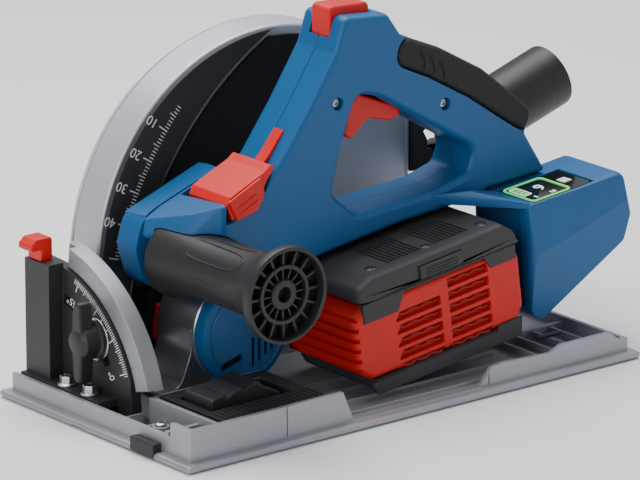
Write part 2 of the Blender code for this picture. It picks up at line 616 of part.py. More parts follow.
def build_arbor():
    turned("arbor", [(0, 31.5), (5.2, 31.5), (5.2, 0), (0, 0)], (ARBOR_X, 46.0, ARBOR_Z), (0, 1, 0),
           STEEL, 24)
    y0 = BLADE_Y - BLADE_T / 2
    turned("inner_flange", [(5.5, 4), (15, 4), (15, 1.5), (11, 0), (5.5, 0)],
           (ARBOR_X, y0 - GAP - 4, ARBOR_Z), (0, 1, 0), STEEL, 28)
    teeth = 24
    points = []
    for i in range(teeth):
        for share, reach in ((0.0, BLADE_R), (0.2, BLADE_R - 5.0), (0.45, BLADE_R - 5.5), (0.8,
                BLADE_R - 2.0)):
            angle = math.radians((i + share) * 360 / teeth)
            points.append((ARBOR_X + reach * math.cos(angle), ARBOR_Z + reach * math.sin(angle)))
    blade = outline("saw_blade", points, y0, y0 + BLADE_T, STEEL)
    cut(blade, rod("blade_bore", (ARBOR_X, y0 - 3, ARBOR_Z), (0, 1, 0), 10, 5.5, sides=24))
    turned("outer_flange", [(5.5, 3), (13, 3), (15, 1.5), (15, 0), (5.5, 0)],
           (ARBOR_X, y0 + BLADE_T + GAP, ARBOR_Z), (0, 1, 0), STEEL, 28)
    bolt = turned("arbor_bolt", [(0, 4.5), (6.6, 4.5), (7.2, 3.8), (7.2, 0), (0, 0)],
                  (ARBOR_X, 77.5 + GAP, ARBOR_Z), (0, 1, 0), STEEL, 24)
    cut(bolt, rod("bolt_hex", (ARBOR_X, 79.5, ARBOR_Z), (0, 1, 0), 6, 3.4, sides=6))
    for name in ("arbor", "inner_flange", "saw_blade", "outer_flange", "arbor_bolt"):
        set_pivot(bpy.data.objects[name], (ARBOR_X, BLADE_Y, ARBOR_Z))


def build_gear_case():
    case = outline("gear_case", fillet([(ARBOR_X - 6, ARBOR_Z - 16.5, 10), (ARBOR_X + 12, ARBOR_Z - 15.5, 6),
                                        (PIVOT_X + LUG_R, PIVOT_Z - LUG_R, LUG_R * 0.9),
                                        (PIVOT_X + LUG_R, PIVOT_Z + LUG_R, LUG_R * 0.9),
                                        (40, 50, 12), (-10, 62, 12), (MOTOR_X - 6, MOTOR_Z + 25, 18),
                                        (MOTOR_X - 18.5, MOTOR_Z + 2, 14), (MOTOR_X - 12, MOTOR_Z - 22, 14),
                                        (IDLER_X, IDLER_Z - 26.5, 8)], 4), CASE_Y0, CASE_Y1, ALUMINIUM)
    boss = rod("arbor_boss", (ARBOR_X, CASE_Y1 - 1, ARBOR_Z), (0, 1, 0), 8.5, 14.5, sides=24)
    neck = rod("motor_neck", (MOTOR_X, MOTOR_Y1 + GAP, MOTOR_Z), (0, 1, 0), CASE_Y0 - MOTOR_Y1 + 1,
               17.0, sides=24)
    join(case, boss, neck)
    room = []
    for x, z, pitch in ((ARBOR_X, ARBOR_Z, ARBOR_PITCH), (IDLER_X, IDLER_Z, IDLER_PITCH),
                        (MOTOR_X, MOTOR_Z, PINION_PITCH)):
        room.append(rod("gear_room", (x, GEAR_Y0 - 1.0, z), (0, 1, 0), GEAR_T + 2.0, pitch + 2.0, sides=30))
    bores = [rod("case_arbor_bore", (ARBOR_X, CASE_Y0 + 1.4, ARBOR_Z), (0, 1, 0), 40, 5.5, sides=24),
             rod("case_bearing_seat", (ARBOR_X, CASE_Y1 + 1.5, ARBOR_Z), (0, 1, 0), 5.4, 11.3, sides=24),
             rod("case_motor_bore", (MOTOR_X, CASE_Y0 - 5, MOTOR_Z), (0, 1, 0), 12, 9.5, sides=24),
             rod("case_pin_bore", (PIVOT_X, CASE_Y0 - 5, PIVOT_Z), (0, 1, 0), 30, PIN_R + 0.06, sides=24)]
    scoop = box("lug_face", (PIVOT_X - 30, CASE_Y1 - 2, -10), (PIVOT_X + 30, CASE_Y1 + 3, 60))
    case_relief = box("liner_relief", (-120, GUARD_Y0 - GAP - LINER_T - 0.8, -10), (31.3, CASE_Y1 + 5, 100))
    keep_boss = rod("keep_boss", (ARBOR_X, CASE_Y1 - 8, ARBOR_Z), (0, 1, 0), 30, 15.4, sides=24)
    cut(case_relief, keep_boss)
    cut(case, case_relief, scoop, *room, *bores)
    set_pivot(case, (PIVOT_X, 50, PIVOT_Z))
    turned("arbor_bearing", [(5.5, 5), (11, 5), (11, 0), (5.5, 0)], (ARBOR_X, CASE_Y1 + 1.7, ARBOR_Z),
           (0, 1, 0),
           STEEL, 28)
    turned("motor_bearing", [(3.3, 3.4), (9.2, 3.4), (9.2, 0), (3.3, 0)], (MOTOR_X, CASE_Y0 - 0.8, MOTOR_Z),
           (0, 1, 0), STEEL, 24)


def build_motor():
    housing = turned("motor_housing", [(MOTOR_R - MOTOR_WALL, MOTOR_Y1 - MOTOR_Y0), (MOTOR_R,
            MOTOR_Y1 - MOTOR_Y0),
                                       (MOTOR_R, 5), (MOTOR_R - 1.5, 1.6), (MOTOR_R - 5, 0), (0, 0), (0, 2.6),
                                       (MOTOR_R - MOTOR_WALL - 2.5, 2.6), (MOTOR_R - MOTOR_WALL, 5)],
                     (MOTOR_X, MOTOR_Y0, MOTOR_Z), (0, 1, 0), BLUE, 30)
    vents = [box("vent_%d" % i, (MOTOR_X + x - 1.3, MOTOR_Y0 - 5, MOTOR_Z - 24 + abs(x) * 0.4),
                 (MOTOR_X + x + 1.3, MOTOR_Y0 + 4, MOTOR_Z - 4)) for i, x in enumerate((2, 8, 14, 20))]
    slot = box("motor_slot", (MOTOR_X - 16, MOTOR_Y0 - 5, MOTOR_Z - 22), (MOTOR_X - 6, MOTOR_Y0 + 4,
            MOTOR_Z - 17))
    cut(housing, *vents, slot)
    turned("stator", [(14, 24), (28.6, 24), (28.6, 0), (14, 0)], (MOTOR_X, 6.5, MOTOR_Z), (0, 1, 0),
           COPPER, 28)
    turned("rear_bearing", [(3.3, 4), (8, 4), (8, 0), (3.3, 0)], (MOTOR_X, MOTOR_Y0 + 6.4, MOTOR_Z),
           (0, 1, 0),
           STEEL, 24)


def head_outline():
    return fillet([(-121, 96, 12), (-115, 116, 14), (-92, 119, 10), (-58, 137, 8), (-31, 173, 0), (-10,
            204, 8),
                   (-3, 224, 5), (30, 221, 4), (40, 207, 4), (70.6, 193.6, 12), (103, 175.4, 10),
                   (126.4, 156.6, 6), (141, 144, 5), (136, 131, 4), (150, 109, 2), (150, 104, 0),
                   (106.5, 101, 2), (100, 97, 2), (40, 92.5, 6), (-20, 84, 6), (-70, 79, 8), (-78, 76, 4),
                   (-92, 68.5, 6), (-114, 72, 14)], 2)


def sleeve_outline():
    return fillet([(40, 206.6, 4), (70.6, 193.8, 12), (103, 175.6, 10), (126.4, 156.8, 6), (141.2, 144.2, 5),
                   (136, 131, 4), (127, 136, 8), (112, 146, 8), (90, 161, 8), (60, 178, 10), (34, 190, 8)], 2)


def finger_opening():
    return fillet([(7, 177, 8), (24, 172, 6), (97, 128, 8), (92, 114, 7), (70, 108, 8), (6, 104, 10),
                   (-12, 120, 8), (-3, 150, 20)], 2)


def build_head():
    y0, y1 = HEAD_Y - HEAD_HALF, HEAD_Y + HEAD_HALF
    near = outline("handle_shell_near", head_outline(), y0, HEAD_Y - GAP / 2, BLUE)
    far = outline("handle_shell_far", head_outline(), HEAD_Y + GAP / 2, y1, BLUE)
    arm = outline("head_arm", fillet([(-121, 96, 12), (-115, 116, 14), (-92, 119, 10), (-58, 134, 8),
                                      (-35, 120, 12), (-10, 88, 6), (-20, 80, 6), (-70, 79, 8), (-78, 76, 4),
                                      (-92, 68.5, 6), (-114, 72, 14)], 2), y1 - 1, ARM_Y1)
    join(far, arm)
    arm_keep = box("near_trim", (-130, y0 - 5, 60), (-70, HEAD_Y + 30, 130))
    cut(near, arm_keep)
    cut(far, box("far_trim_front", (-130, HEAD_Y - 5, 60), (-70, AUX_Y0 + 0.3, 130)))
    for shell in (near, far):
        opening = outline("finger_" + shell.name, finger_opening(), y0 - 5, ARM_Y1 + 5)
        sleeve_cut = outline("sleeve_seat_" + shell.name, grown(sleeve_outline(), GAP), y0 - 5, y1 + 5)
        lock_well = box("lock_well_" + shell.name, (-7.5, HEAD_Y - 9, 204.5), (24.5, HEAD_Y + 9, 235))
        trigger_well = outline("trigger_well_" + shell.name, [(4, 166), (14, 184), (44, 172), (60,
                150), (30, 140)],
                               HEAD_Y - 8.5, HEAD_Y + 8.5)
        cut(shell, opening, sleeve_cut, lock_well, trigger_well)
    switch_well = box("switch_well", (14, HEAD_Y - 7, 174), (41.5, HEAD_Y + 7, 186))
    cut(near, switch_well)
    cut(far, switch_well)
    box("trigger_switch", (15, HEAD_Y - 6.5, 178.0), (40, HEAD_Y + 6.5, 185.0), GREY)

    sleeve = outline("grip_sleeve", sleeve_outline(), y0 - 0.8, y1 + 0.8, RUBBER)
    soften(sleeve, 2.6, 2, 50)

    lever_pts = fillet([(-85.7, 117, 0), (-89.5, 125.5, 2), (-64, 144.5, 3), (-60, 147.6, 2), (-57, 144.5, 2),
                        (-60, 140.6, 0), (-63, 132, 0)], 2)
    lever = outline("blade_change_lever", lever_pts, y0 + 1, y1 - 3, RED)
    soften(lever, 1.2)
    set_pivot(lever, (-60, HEAD_Y, 144))
    lever_seat = outline("lever_seat", fillet([(-91, 116.0, 0), (-86, 116.2, 0), (-62.2, 131, 0), (-55, 146, 0),
                                               (-58, 152, 0), (-91, 150, 0)], 2), y0 - 5, y1 + 5)
    lever_socket = rod("lever_socket", (-60, -60, 144), (0, 1, 0), 120, 4.6, sides=16)
    cut(near, lever_seat, lever_socket)
    cut(far, lever_seat, lever_socket)

    lock = box("lock_off_button", (-6.5, HEAD_Y - 8.4, 209), (23.5, HEAD_Y + 8.4, 229), RED)
    soften(lock, 2.0, 2)
    trigger = outline("trigger", fillet([(9, 167.5, 2), (16, 173.5, 2), (46, 161, 3), (49, 155, 3),
                                         (40, 152.5, 6),
                                         (24, 157, 8), (11, 146, 4), (5.5, 150, 2)], 2), HEAD_Y - 7.8,
                                         HEAD_Y + 7.8,
                      RED)
    soften(trigger, 1.2)
    set_pivot(trigger, (44, HEAD_Y, 163))
    return near, far


def build_rear_housing():
    side = fillet([(106.8, 99, 1), (150.2, 103.4, 0), (182, 107.2, 4), (189, 80, 6), (184, 63, 4),
                   (121, 25, 5),
                   (112, 31, 4)], 3)
    housing = outline("rear_housing", side, REAR_Y0, REAR_Y1, BLUE)
    room = outline("rear_room", fillet([(100, 94, 0), (176, 101, 3), (183, 80, 4), (179, 67, 3), (124, 32, 3),
                                        (100, 36, 0)], 2), REAR_Y0 + REAR_WALL, REAR_Y1 - REAR_WALL)
    soften(housing, 1.5)
    panel_seat = box("panel_seat", (112, -58, 98), (160, -26, 120))
    cut(housing, room, panel_seat)
    panel = box("display_panel", (112 + GAP, -58 + GAP, 99.2), (160 - GAP, -26 - GAP, 103.0), PLASTIC)
    soften(panel, 0.8)
    key_well = box("key_well", (147, -46, 100.5), (154, -38, 110))
    cut(panel, key_well)
    box("mode_key", (147.4, -45.6, 101.2), (153.6, -38.4, 103.9), GREY)
    box("control_board", (118, -54, 60), (164, -16, 62), BOARD)
    return housing


def build_battery():
    cx, cz = BATT_X, BATT_Z
    hl, hh = BATT_L / 2, BATT_H / 2
    top = [(-hl + 10, hh - 16, 0), (-hl - 3, hh - 12, 2), (-hl - 3, hh - 7, 2), (-hl + 10, hh, 3),
           (hl - 10, hh, 3), (hl, hh - 8, 3), (hl, hh - 16, 0)]
    core = [(-hl + 2, hh - 16.4, 2), (-hl - 6, hh - 24, 4), (-hl - 6, -hh + 18, 4), (-hl + 4, -hh + 10.4, 2),
            (hl - 4, -hh + 10.4, 2), (hl + 2, -hh + 18, 4), (hl + 2, hh - 24, 4), (hl - 2, hh - 16.4, 2)]
    bottom = [(-hl + 6, -hh + 10, 0), (-hl + 6, -hh + 4, 3), (-hl + 12, -hh, 3), (hl - 12, -hh, 3),
              (hl - 4, -hh + 4, 3), (hl - 4, -hh + 10, 0)]
    pieces = []
    for name, corners, material, inset in (("battery_top_shell", top, GREY, 0.0), ("battery_core",
            core, RED, 2.0),
                                           ("battery_bottom_shell", bottom, GREY, 1.0)):
        points = [(cx + u, cz + v) for u, v in fillet(corners, 2)]
        piece = outline(name, points, BATT_Y0 + inset, BATT_Y1 - inset * 0.5, material)
        soften(piece, 2.2, 2, 50)
        pieces.append(piece)
    latch = box("battery_latch", (cx - 16, BATT_Y0 - 1.6, cz + hh - 13), (cx + 16, BATT_Y0 + 3.0,
            cz + hh - 5), RED)
    soften(latch, 1.0)
    seat = box("latch_seat", (cx - 16.6, BATT_Y0 - 6, cz + hh - 13.6), (cx + 16.6, BATT_Y0 + 6.0,
            cz + hh - 4.4))
    for piece in pieces + [latch, seat]:
        tip(piece, (cx, 0, cz), (0, 1, 0), -BATT_TILT)
    cut(pieces[0], seat)
    foot = outline("battery_foot", [(cx + u, cz + v) for u, v in ((-48, 34), (54, 34), (60, 20), (58, -20),
                                                                 (30, -26), (-30, -26), (-40, 0))],
                   BATT_Y1 + 0.6, BATT_Y1 + 5.6, PLASTIC)
    tip(foot, (cx, 0, cz), (0, 1, 0), -BATT_TILT)
    for i in range(2):
        contact = box("contact_%s" % "ab"[i], (cx - 20 + 40 * i, BATT_Y1 - 8.0, cz - 5), (cx - 18.8 + 40 * i,
                      BATT_Y1 + 0.3, cz + 5), STEEL)
        pocket = box("contact_pocket_%d" % i, (cx - 21.2 + 40 * i, BATT_Y1 - 9.0, cz - 6.2),
                     (cx - 17.6 + 40 * i, BATT_Y1 + 5, cz + 6.2))
        tip(contact, (cx, 0, cz), (0, 1, 0), -BATT_TILT)
        tip(pocket, (cx, 0, cz), (0, 1, 0), -BATT_TILT)
        cut(pieces[1], pocket)


def build_aux_handle():
    length = AUX_LENGTH
    disc = length - 5.0
    profile = [(0, disc - 2), (7.5, disc - 2), (7.5, length - 1), (9.5, length - 1), (9.5, disc - 2),
               (AUX_DISC_R - 3.2, disc - 2), (AUX_DISC_R - 3.2, length), (AUX_DISC_R - 1, length),
               (AUX_DISC_R, length - 1.5), (AUX_DISC_R, disc - 1), (AUX_DISC_R - 3, disc - 4),
               (AUX_R + 1.5, disc - 12),
               (AUX_R - 0.5, disc - 24), (AUX_R - 1, length * 0.5), (AUX_R + 0.5, 26), (AUX_R + 3, 13),
               (AUX_R + 5, 5), (AUX_R + 5, 0), (0, 0)]
    turned("aux_handle", profile, (AUX_X, AUX_Y0, AUX_Z), (0, -1, 0), PLASTIC, 24)


def hang(parent_point, names):
    """Put the pieces of a body under an empty that stands on the body's joint axis."""
    empty = bpy.data.objects.new(names[0], None)
    PARTS.objects.link(empty)
    empty.location = Vector(parent_point) * MM
    bpy.context.view_layer.update()
    for name in names[1:]:
        piece = bpy.data.objects[name]
        piece.parent = empty
        piece.matrix_parent_inverse = empty.matrix_world.inverted()


build_base()
build_rail_knob()
build_bevel()
build_bevel_hardware()
build_guard()
build_depth_stop()
build_dust_path()
build_gears()
build_arbor()
build_gear_case()
build_motor()
build_head()
build_rear_housing()
build_battery()
build_aux_handle()
hang((PIVOT_X, 50, PIVOT_Z), ["head_pivot", "handle_shell_near", "handle_shell_far", "grip_sleeve",
                              "motor_housing", "stator", "rear_housing", "aux_handle"])

for part in PARTS.objects:
    if part.type == "MESH":
        part.data.shade_smooth()
        part.data.set_sharp_from_angle(angle=math.radians(32))
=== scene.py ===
import json
import math
import bmesh
import bpy
from mathutils import Matrix, Vector

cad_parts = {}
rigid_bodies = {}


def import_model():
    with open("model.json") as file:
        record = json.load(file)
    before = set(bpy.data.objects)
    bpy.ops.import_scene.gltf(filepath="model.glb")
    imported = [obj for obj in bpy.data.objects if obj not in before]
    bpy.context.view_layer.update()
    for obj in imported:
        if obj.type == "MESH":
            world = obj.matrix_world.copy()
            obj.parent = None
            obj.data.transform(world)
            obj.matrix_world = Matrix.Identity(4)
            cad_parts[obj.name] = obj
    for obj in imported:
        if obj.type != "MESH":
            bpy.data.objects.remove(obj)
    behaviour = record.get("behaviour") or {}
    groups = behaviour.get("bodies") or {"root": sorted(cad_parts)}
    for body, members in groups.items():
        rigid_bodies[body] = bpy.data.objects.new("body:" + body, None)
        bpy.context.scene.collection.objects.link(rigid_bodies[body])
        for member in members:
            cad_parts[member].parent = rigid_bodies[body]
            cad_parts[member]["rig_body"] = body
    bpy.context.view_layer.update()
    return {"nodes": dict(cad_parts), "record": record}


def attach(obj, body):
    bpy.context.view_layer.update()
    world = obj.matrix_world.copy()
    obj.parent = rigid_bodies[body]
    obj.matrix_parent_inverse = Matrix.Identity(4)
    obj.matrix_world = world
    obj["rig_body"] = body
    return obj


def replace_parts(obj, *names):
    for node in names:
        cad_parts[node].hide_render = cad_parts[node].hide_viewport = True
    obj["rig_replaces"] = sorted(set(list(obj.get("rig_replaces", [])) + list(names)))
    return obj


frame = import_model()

mm = 0.001
bladeY = 73.0                   # middle of the blade, and the tilt axis
pivot = (104.0, 16.0)           # plunge axis, x and z
arbor = (0.0, 18.0)
motor = (-61.6, 41.65)


def onLine(line, y):
    return (line[0], y, line[1])


# ---- shapes: outlines, stacks of outlines, turned pieces

def arcPoints(cx, cz, radius, first, last, steps):
    turns = [math.radians(first + (last - first) * i / steps) for i in range(steps + 1)]
    return [(cx + radius * math.cos(a), cz + radius * math.sin(a)) for a in turns]


def roundCorners(corners, steps=6):
    points = []
    for i, (u, v, radius) in enumerate(corners):
        here = Vector((u, v))
        if radius <= 0:
            points.append((u, v))
            continue
        before = Vector(corners[i - 1][:2]) - here
        after = Vector(corners[(i + 1) % len(corners)][:2]) - here
        half = before.angle(after) / 2
        reach = min(radius / math.tan(half), before.length * 0.48, after.length * 0.48)
        radius = reach * math.tan(half)
        start = here + before.normalized() * reach
        end = here + after.normalized() * reach
        centre = here + (before.normalized() + after.normalized()).normalized() * radius / math.sin(half)
        sweep = (start - centre).angle_signed(end - centre)
        for k in range(steps + 1):
            points.append(tuple(centre + Matrix.Rotation(-sweep * k / steps, 2) @ (start - centre)))
    return points


def grown(points, amount):
    # moves every corner outwards along its own normal
    turn = sum(a[0] * b[1] - b[0] * a[1] for a, b in zip(points, points[1:] + points[:1]))
    side = amount if turn < 0 else -amount
    moved = []
    for i, (u, v) in enumerate(points):
        along = (Vector(points[(i + 1) % len(points)]) - Vector(points[i - 1])).normalized()
        moved.append((u - along.y * side, v + along.x * side))
    return moved


def rimmed(low, high, rimLow=0.0, rimHigh=0.0, steps=4):
    # levels and growths of a thickness with rounded rims; a negative rim flares
    rings = []
    for rim, end, sign in ((rimLow, low, 1), (rimHigh, high, -1)):
        count = steps if rim else 0
        ring = []
        for i in range(count + 1):
            a = math.pi / 2 * i / max(count, 1)
            ring.append((end + sign * abs(rim) * (1 - math.cos(a)), -rim * (1 - math.sin(a))))
        rings += ring if sign > 0 else ring[::-1]
    return rings


spots = {"X": lambda u, v, w: (w, u, v), "Y": lambda u, v, w: (u, w, v), "Z": lambda u, v, w: (u, v, w)}


def placed(name, data):
    made = bpy.data.objects.new(name, data)
    bpy.context.scene.collection.objects.link(made)
    return made


def stored(name, bm):
    bmesh.ops.remove_doubles(bm, verts=bm.verts, dist=1e-6)
    bmesh.ops.recalc_face_normals(bm, faces=bm.faces)
    mesh = bpy.data.meshes.new(name)
    bm.to_mesh(mesh)
    bm.free()
    return placed(name, mesh)


def stack(name, points, rings, normal="Y"):
    bm = bmesh.new()
    loops = []
    for level, growth in rings:
        edge = grown(points, growth) if growth else points
        loops.append([bm.verts.new(Vector(spots[normal](u, v, level)) * mm) for u, v in edge])
    for lower, upper in zip(loops, loops[1:]):
        for i in range(len(points)):
            k = (i + 1) % len(points)
            bm.faces.new((lower[i], lower[k], upper[k], upper[i]))
    bm.faces.new(loops[0])
    bm.faces.new(loops[-1])
    return stored(name, bm)


def plate(name, points, low, high, normal="Y", rim=0.0, steps=3):
    return stack(name, points, rimmed(low, high, rim, rim, steps), normal)


def hull(name, corners):
    bm = bmesh.new()
    for corner in corners:
        bm.verts.new(Vector(corner) * mm)
    bmesh.ops.convex_hull(bm, input=bm.verts)
    return stored(name, bm)


def block(name, low, high, rim=0.0):
    corners = [(low[0], low[1]), (low[0], high[1]), (high[0], high[1]), (high[0], low[1])]
    return plate(name, corners, low[2], high[2], "Z", rim, 2)


def axisTurn(axis):
    return Vector((0, 0, 1)).rotation_difference(Vector(axis).normalized()).to_matrix().to_4x4()


def turned(name, profile, start, axis, steps=72):
    # a profile of radius and height, spun about its axis
    bm = bmesh.new()
    corners = [bm.verts.new((r * mm, 0, h * mm)) for r, h in profile]
    edges = [bm.edges.new(pair) for pair in zip(corners, corners[1:])]
    if profile[0][0] > 0:
        edges.append(bm.edges.new((corners[-1], corners[0])))
    bmesh.ops.spin(bm, geom=corners + edges, cent=(0, 0, 0), axis=(0, 0, 1), angle=2 * math.pi, steps=steps)
    bmesh.ops.transform(bm, matrix=Matrix.Translation(Vector(start) * mm) @ axisTurn(axis), verts=bm.verts)
    return stored(name, bm)


def rod(name, start, axis, length, radius, sides=40):
    return turned(name, [(0, length), (radius, length), (radius, 0), (0, 0)], start, axis, sides)


def settled(piece):
    graph = bpy.context.evaluated_depsgraph_get()
    graph.update()
    made = bpy.data.meshes.new_from_object(piece.evaluated_get(graph), preserve_all_data_layers=True,
                                           depsgraph=graph)
    piece.modifiers.clear()
    piece.data = made
    return piece


def combined(piece, others, operation):
    for other in others:
        tool = piece.modifiers.new("cut", "BOOLEAN")
        tool.operation = operation
        tool.solver = "EXACT"
        tool.object = other
    settled(piece)
    for other in others:
        bpy.data.objects.remove(other, do_unlink=True)
    return piece


def carve(piece, *others):
    return combined(piece, others, "DIFFERENCE")


def fuse(piece, *others):
    return combined(piece, others, "UNION")


def edged(piece, width=0.4, segments=2, angle=32.0):
    # small rounded edges, and normals that keep flat faces flat
    if width:
        bevel = piece.modifiers.new("edges", "BEVEL")
        bevel.width = width * mm
        bevel.segments = segments
        bevel.limit_method = "ANGLE"
        bevel.angle_limit = math.radians(angle)
        settled(piece)
    piece.data.shade_smooth()
    piece.data.set_sharp_from_angle(angle=math.radians(46))
    smooth = piece.modifiers.new("normals", "WEIGHTED_NORMAL")
    smooth.keep_sharp = True
    return settled(piece)


def tipped(piece, point, axis, degrees):
    centre = Matrix.Translation(Vector(point) * mm)
    piece.data.transform(centre @ Matrix.Rotation(math.radians(degrees), 4, Vector(axis)) @ centre.inverted())
    return piece


def meshed(name, curve):
    # the plain mesh of a curve or a text
    guide = placed(name, curve)
    graph = bpy.context.evaluated_depsgraph_get()
    mesh = bpy.data.meshes.new_from_object(guide.evaluated_get(graph))
    bpy.data.objects.remove(guide, do_unlink=True)
    return mesh


def tube(name, path, radius, closed=False, sides=2):
    curve = bpy.data.curves.new(name, "CURVE")
    curve.dimensions = "3D"
    curve.bevel_depth = radius * mm
    curve.bevel_resolution = sides
    curve.use_fill_caps = not closed
    spline = curve.splines.new("POLY")
    spline.points.add(len(path) - 1)
    for point, place in zip(spline.points, path):
        point.co = (*(Vector(place) * mm), 1)
    spline.use_cyclic_u = closed
    piece = placed(name, meshed(name, curve))
    piece.data.shade_smooth()
    return piece


def lettered(name, text, size, place, right, up, depth=0.12):
    # a number as a thin raised mark; place is its middle
    curve = bpy.data.curves.new(name, "FONT")
    curve.body = text
    curve.size = size * mm
    curve.extrude = depth / 2 * mm
    curve.align_x = "CENTER"
    curve.align_y = "CENTER"
    curve.resolution_u = 4
    mesh = meshed(name, curve)
    right, up = Vector(right).normalized(), Vector(up).normalized()
    turn = Matrix((right, up, right.cross(up))).transposed().to_4x4()
    mesh.transform(Matrix.Translation(Vector(place) * mm) @ turn)
    return placed(name, mesh)


def merged(name, pieces):
    bm = bmesh.new()
    for piece in pieces:
        bm.from_mesh(piece.data)
        bpy.data.objects.remove(piece, do_unlink=True)
    mesh = bpy.data.meshes.new(name)
    bm.to_mesh(mesh)
    bm.free()
    return placed(name, mesh)


# ---- Geometry Nodes: one piece repeated in a line or round a pivot

def repeatTree():
    tree = bpy.data.node_groups.new("repeatPiece", "GeometryNodeTree")
    face = tree.interface
    for title, kind in (("Piece", "NodeSocketGeometry"), ("Count", "NodeSocketInt"),
                        ("Step", "NodeSocketVector"),
                        ("Turn", "NodeSocketVector"), ("Pivot", "NodeSocketVector"),
                        ("Finish", "NodeSocketMaterial")):
        face.new_socket(title, in_out="INPUT", socket_type=kind)
    face.new_socket("Pieces", in_out="OUTPUT", socket_type="NodeSocketGeometry")
    make = tree.nodes.new
    link = tree.links.new
    given, result = make("NodeGroupInput"), make("NodeGroupOutput")
    line, copies = make("GeometryNodeMeshLine"), make("GeometryNodeInstanceOnPoints")
    index = make("GeometryNodeInputIndex")
    shift, swing = make("ShaderNodeVectorMath"), make("ShaderNodeVectorMath")
    for node, title in ((shift, "Step"), (swing, "Turn")):
        node.operation = "SCALE"
        link(given.outputs[title], node.inputs[0])
        link(index.outputs[0], node.inputs["Scale"])
    line.inputs["Offset"].default_value = (0, 0, 0)
    link(given.outputs["Count"], line.inputs["Count"])
    link(line.outputs[0], copies.inputs["Points"])
    link(given.outputs["Piece"], copies.inputs["Instance"])
    move, rotate = make("GeometryNodeTranslateInstances"), make("GeometryNodeRotateInstances")
    for node in (move, rotate):
        node.inputs["Local Space"].default_value = False
    link(copies.outputs[0], rotate.inputs["Instances"])
    link(swing.outputs[0], rotate.inputs["Rotation"])
    link(given.outputs["Pivot"], rotate.inputs["Pivot Point"])
    link(rotate.outputs[0], move.inputs["Instances"])
    link(shift.outputs[0], move.inputs["Translation"])
    solid, coat = make("GeometryNodeRealizeInstances"), make("GeometryNodeSetMaterial")
    link(move.outputs[0], solid.inputs[0])
    link(solid.outputs[0], coat.inputs[0])
    link(given.outputs["Finish"], coat.inputs["Material"])
    link(coat.outputs[0], result.inputs[0])
    return tree


repeatGroup = repeatTree()


def repeated(piece, count, step=(0, 0, 0), turn=(0, 0, 0), pivotAt=(0, 0, 0), finish=None):
    maker = piece.modifiers.new("repeat", "NODES")
    maker.node_group = repeatGroup
    values = {"Count": count, "Step": [x * mm for x in step], "Turn": [math.radians(x) for x in turn],
              "Pivot": [x * mm for x in pivotAt], "Finish": finish}
    for item in repeatGroup.interface.items_tree:
        if item.in_out == "INPUT" and item.name in values and values[item.name] is not None:
            maker[item.identifier] = values[item.name]
    return settled(piece)


# ---- shader maths and finishes

class Value:
    def __init__(self, finish, socket):
        self.finish = finish
        self.socket = socket

    def maths(self, operation, other):
        return self.finish.node("ShaderNodeMath", {"operation": operation}, {0: self, 1: other})

    def __add__(self, other):
        return self.maths("ADD", other)

    def __mul__(self, other):
        return self.maths("MULTIPLY", other)


class Finish:
    def __init__(self, name, colour, roughness, metallic=0.0, **constants):
        self.material = bpy.data.materials.new(name)
        self.material.use_nodes = True
        self.material.diffuse_color = (*colour, 1)
        self.tree = self.material.node_tree
        self.shader = self.tree.nodes["Principled BSDF"]
        self.colour = (*colour, 1)
        self.shader.inputs["Base Color"].default_value = self.colour
        self.shader.inputs["Roughness"].default_value = roughness
        self.shader.inputs["Metallic"].default_value = metallic
        for title, value in constants.items():
            self.shader.inputs[title.replace("_", " ")].default_value = value
        self.place = self.node("ShaderNodeTexCoord", output="Object")

    def node(self, kind, settings=None, inputs=None, output=0):
        made = self.tree.nodes.new(kind)
        for title, value in (settings or {}).items():
            if title == "stops":
                ramp = made.color_ramp
                while len(ramp.elements) < len(value):
                    ramp.elements.new(0.5)
                for element, (position, shade) in zip(ramp.elements, value):
                    element.position = position
                    element.color = shade if len(shade) == 4 else (*shade, 1)
            else:
                setattr(made, title, value)
        for title, value in (inputs or {}).items():
            if isinstance(value, Value):
                self.tree.links.new(value.socket, made.inputs[title])
            else:
                made.inputs[title].default_value = value
        return Value(self, made.outputs[output])

    def feed(self, title, value):
        self.tree.links.new(value.socket, self.shader.inputs[title])
        return self

    def noise(self, scale, detail=3.0, roughness=0.55, place=None):
        return self.node("ShaderNodeTexNoise", None, {"Vector": place or self.place, "Scale": scale,
                                                      "Detail": detail, "Roughness": roughness})

    def stretched(self, scale):
        return self.node("ShaderNodeMapping", None, {"Vector": self.place, "Scale": scale})

    def shades(self, value, darker, lighter):
        low = tuple(c * darker for c in self.colour[:3])
        high = tuple(min(1.0, c * lighter) for c in self.colour[:3])
        ramp = self.node("ShaderNodeValToRGB", {"stops": [(0.3, low), (0.7, high)]}, {"Fac": value})
        return self.feed("Base Color", ramp)

    def bump(self, height, strength, distance):
        return self.feed("Normal", self.node("ShaderNodeBump", None, {"Height": height, "Strength": strength,
                                                                      "Distance": distance}))


def mouldedPlastic(name, colour, roughness=0.5, grain=1400.0, depth=0.35, spread=0.06):
    # spark-eroded grain, cloudy tone and a little shine where hands rub it
    finish = Finish(name, colour, roughness, Specular_IOR_Level=0.42)
    cloud = finish.noise(26.0, 4.0)
    fine = finish.noise(grain, 2.0, 0.6)
    finish.shades(cloud * 0.6 + fine * 0.4, 1 - spread, 1 + spread)
    finish.feed("Roughness", cloud * 0.16 + fine * 0.1 + (roughness - 0.13))
    finish.bump(fine * 0.7 + finish.noise(grain * 0.45, 1.0) * 0.3, depth, 0.00016)
    return finish.material


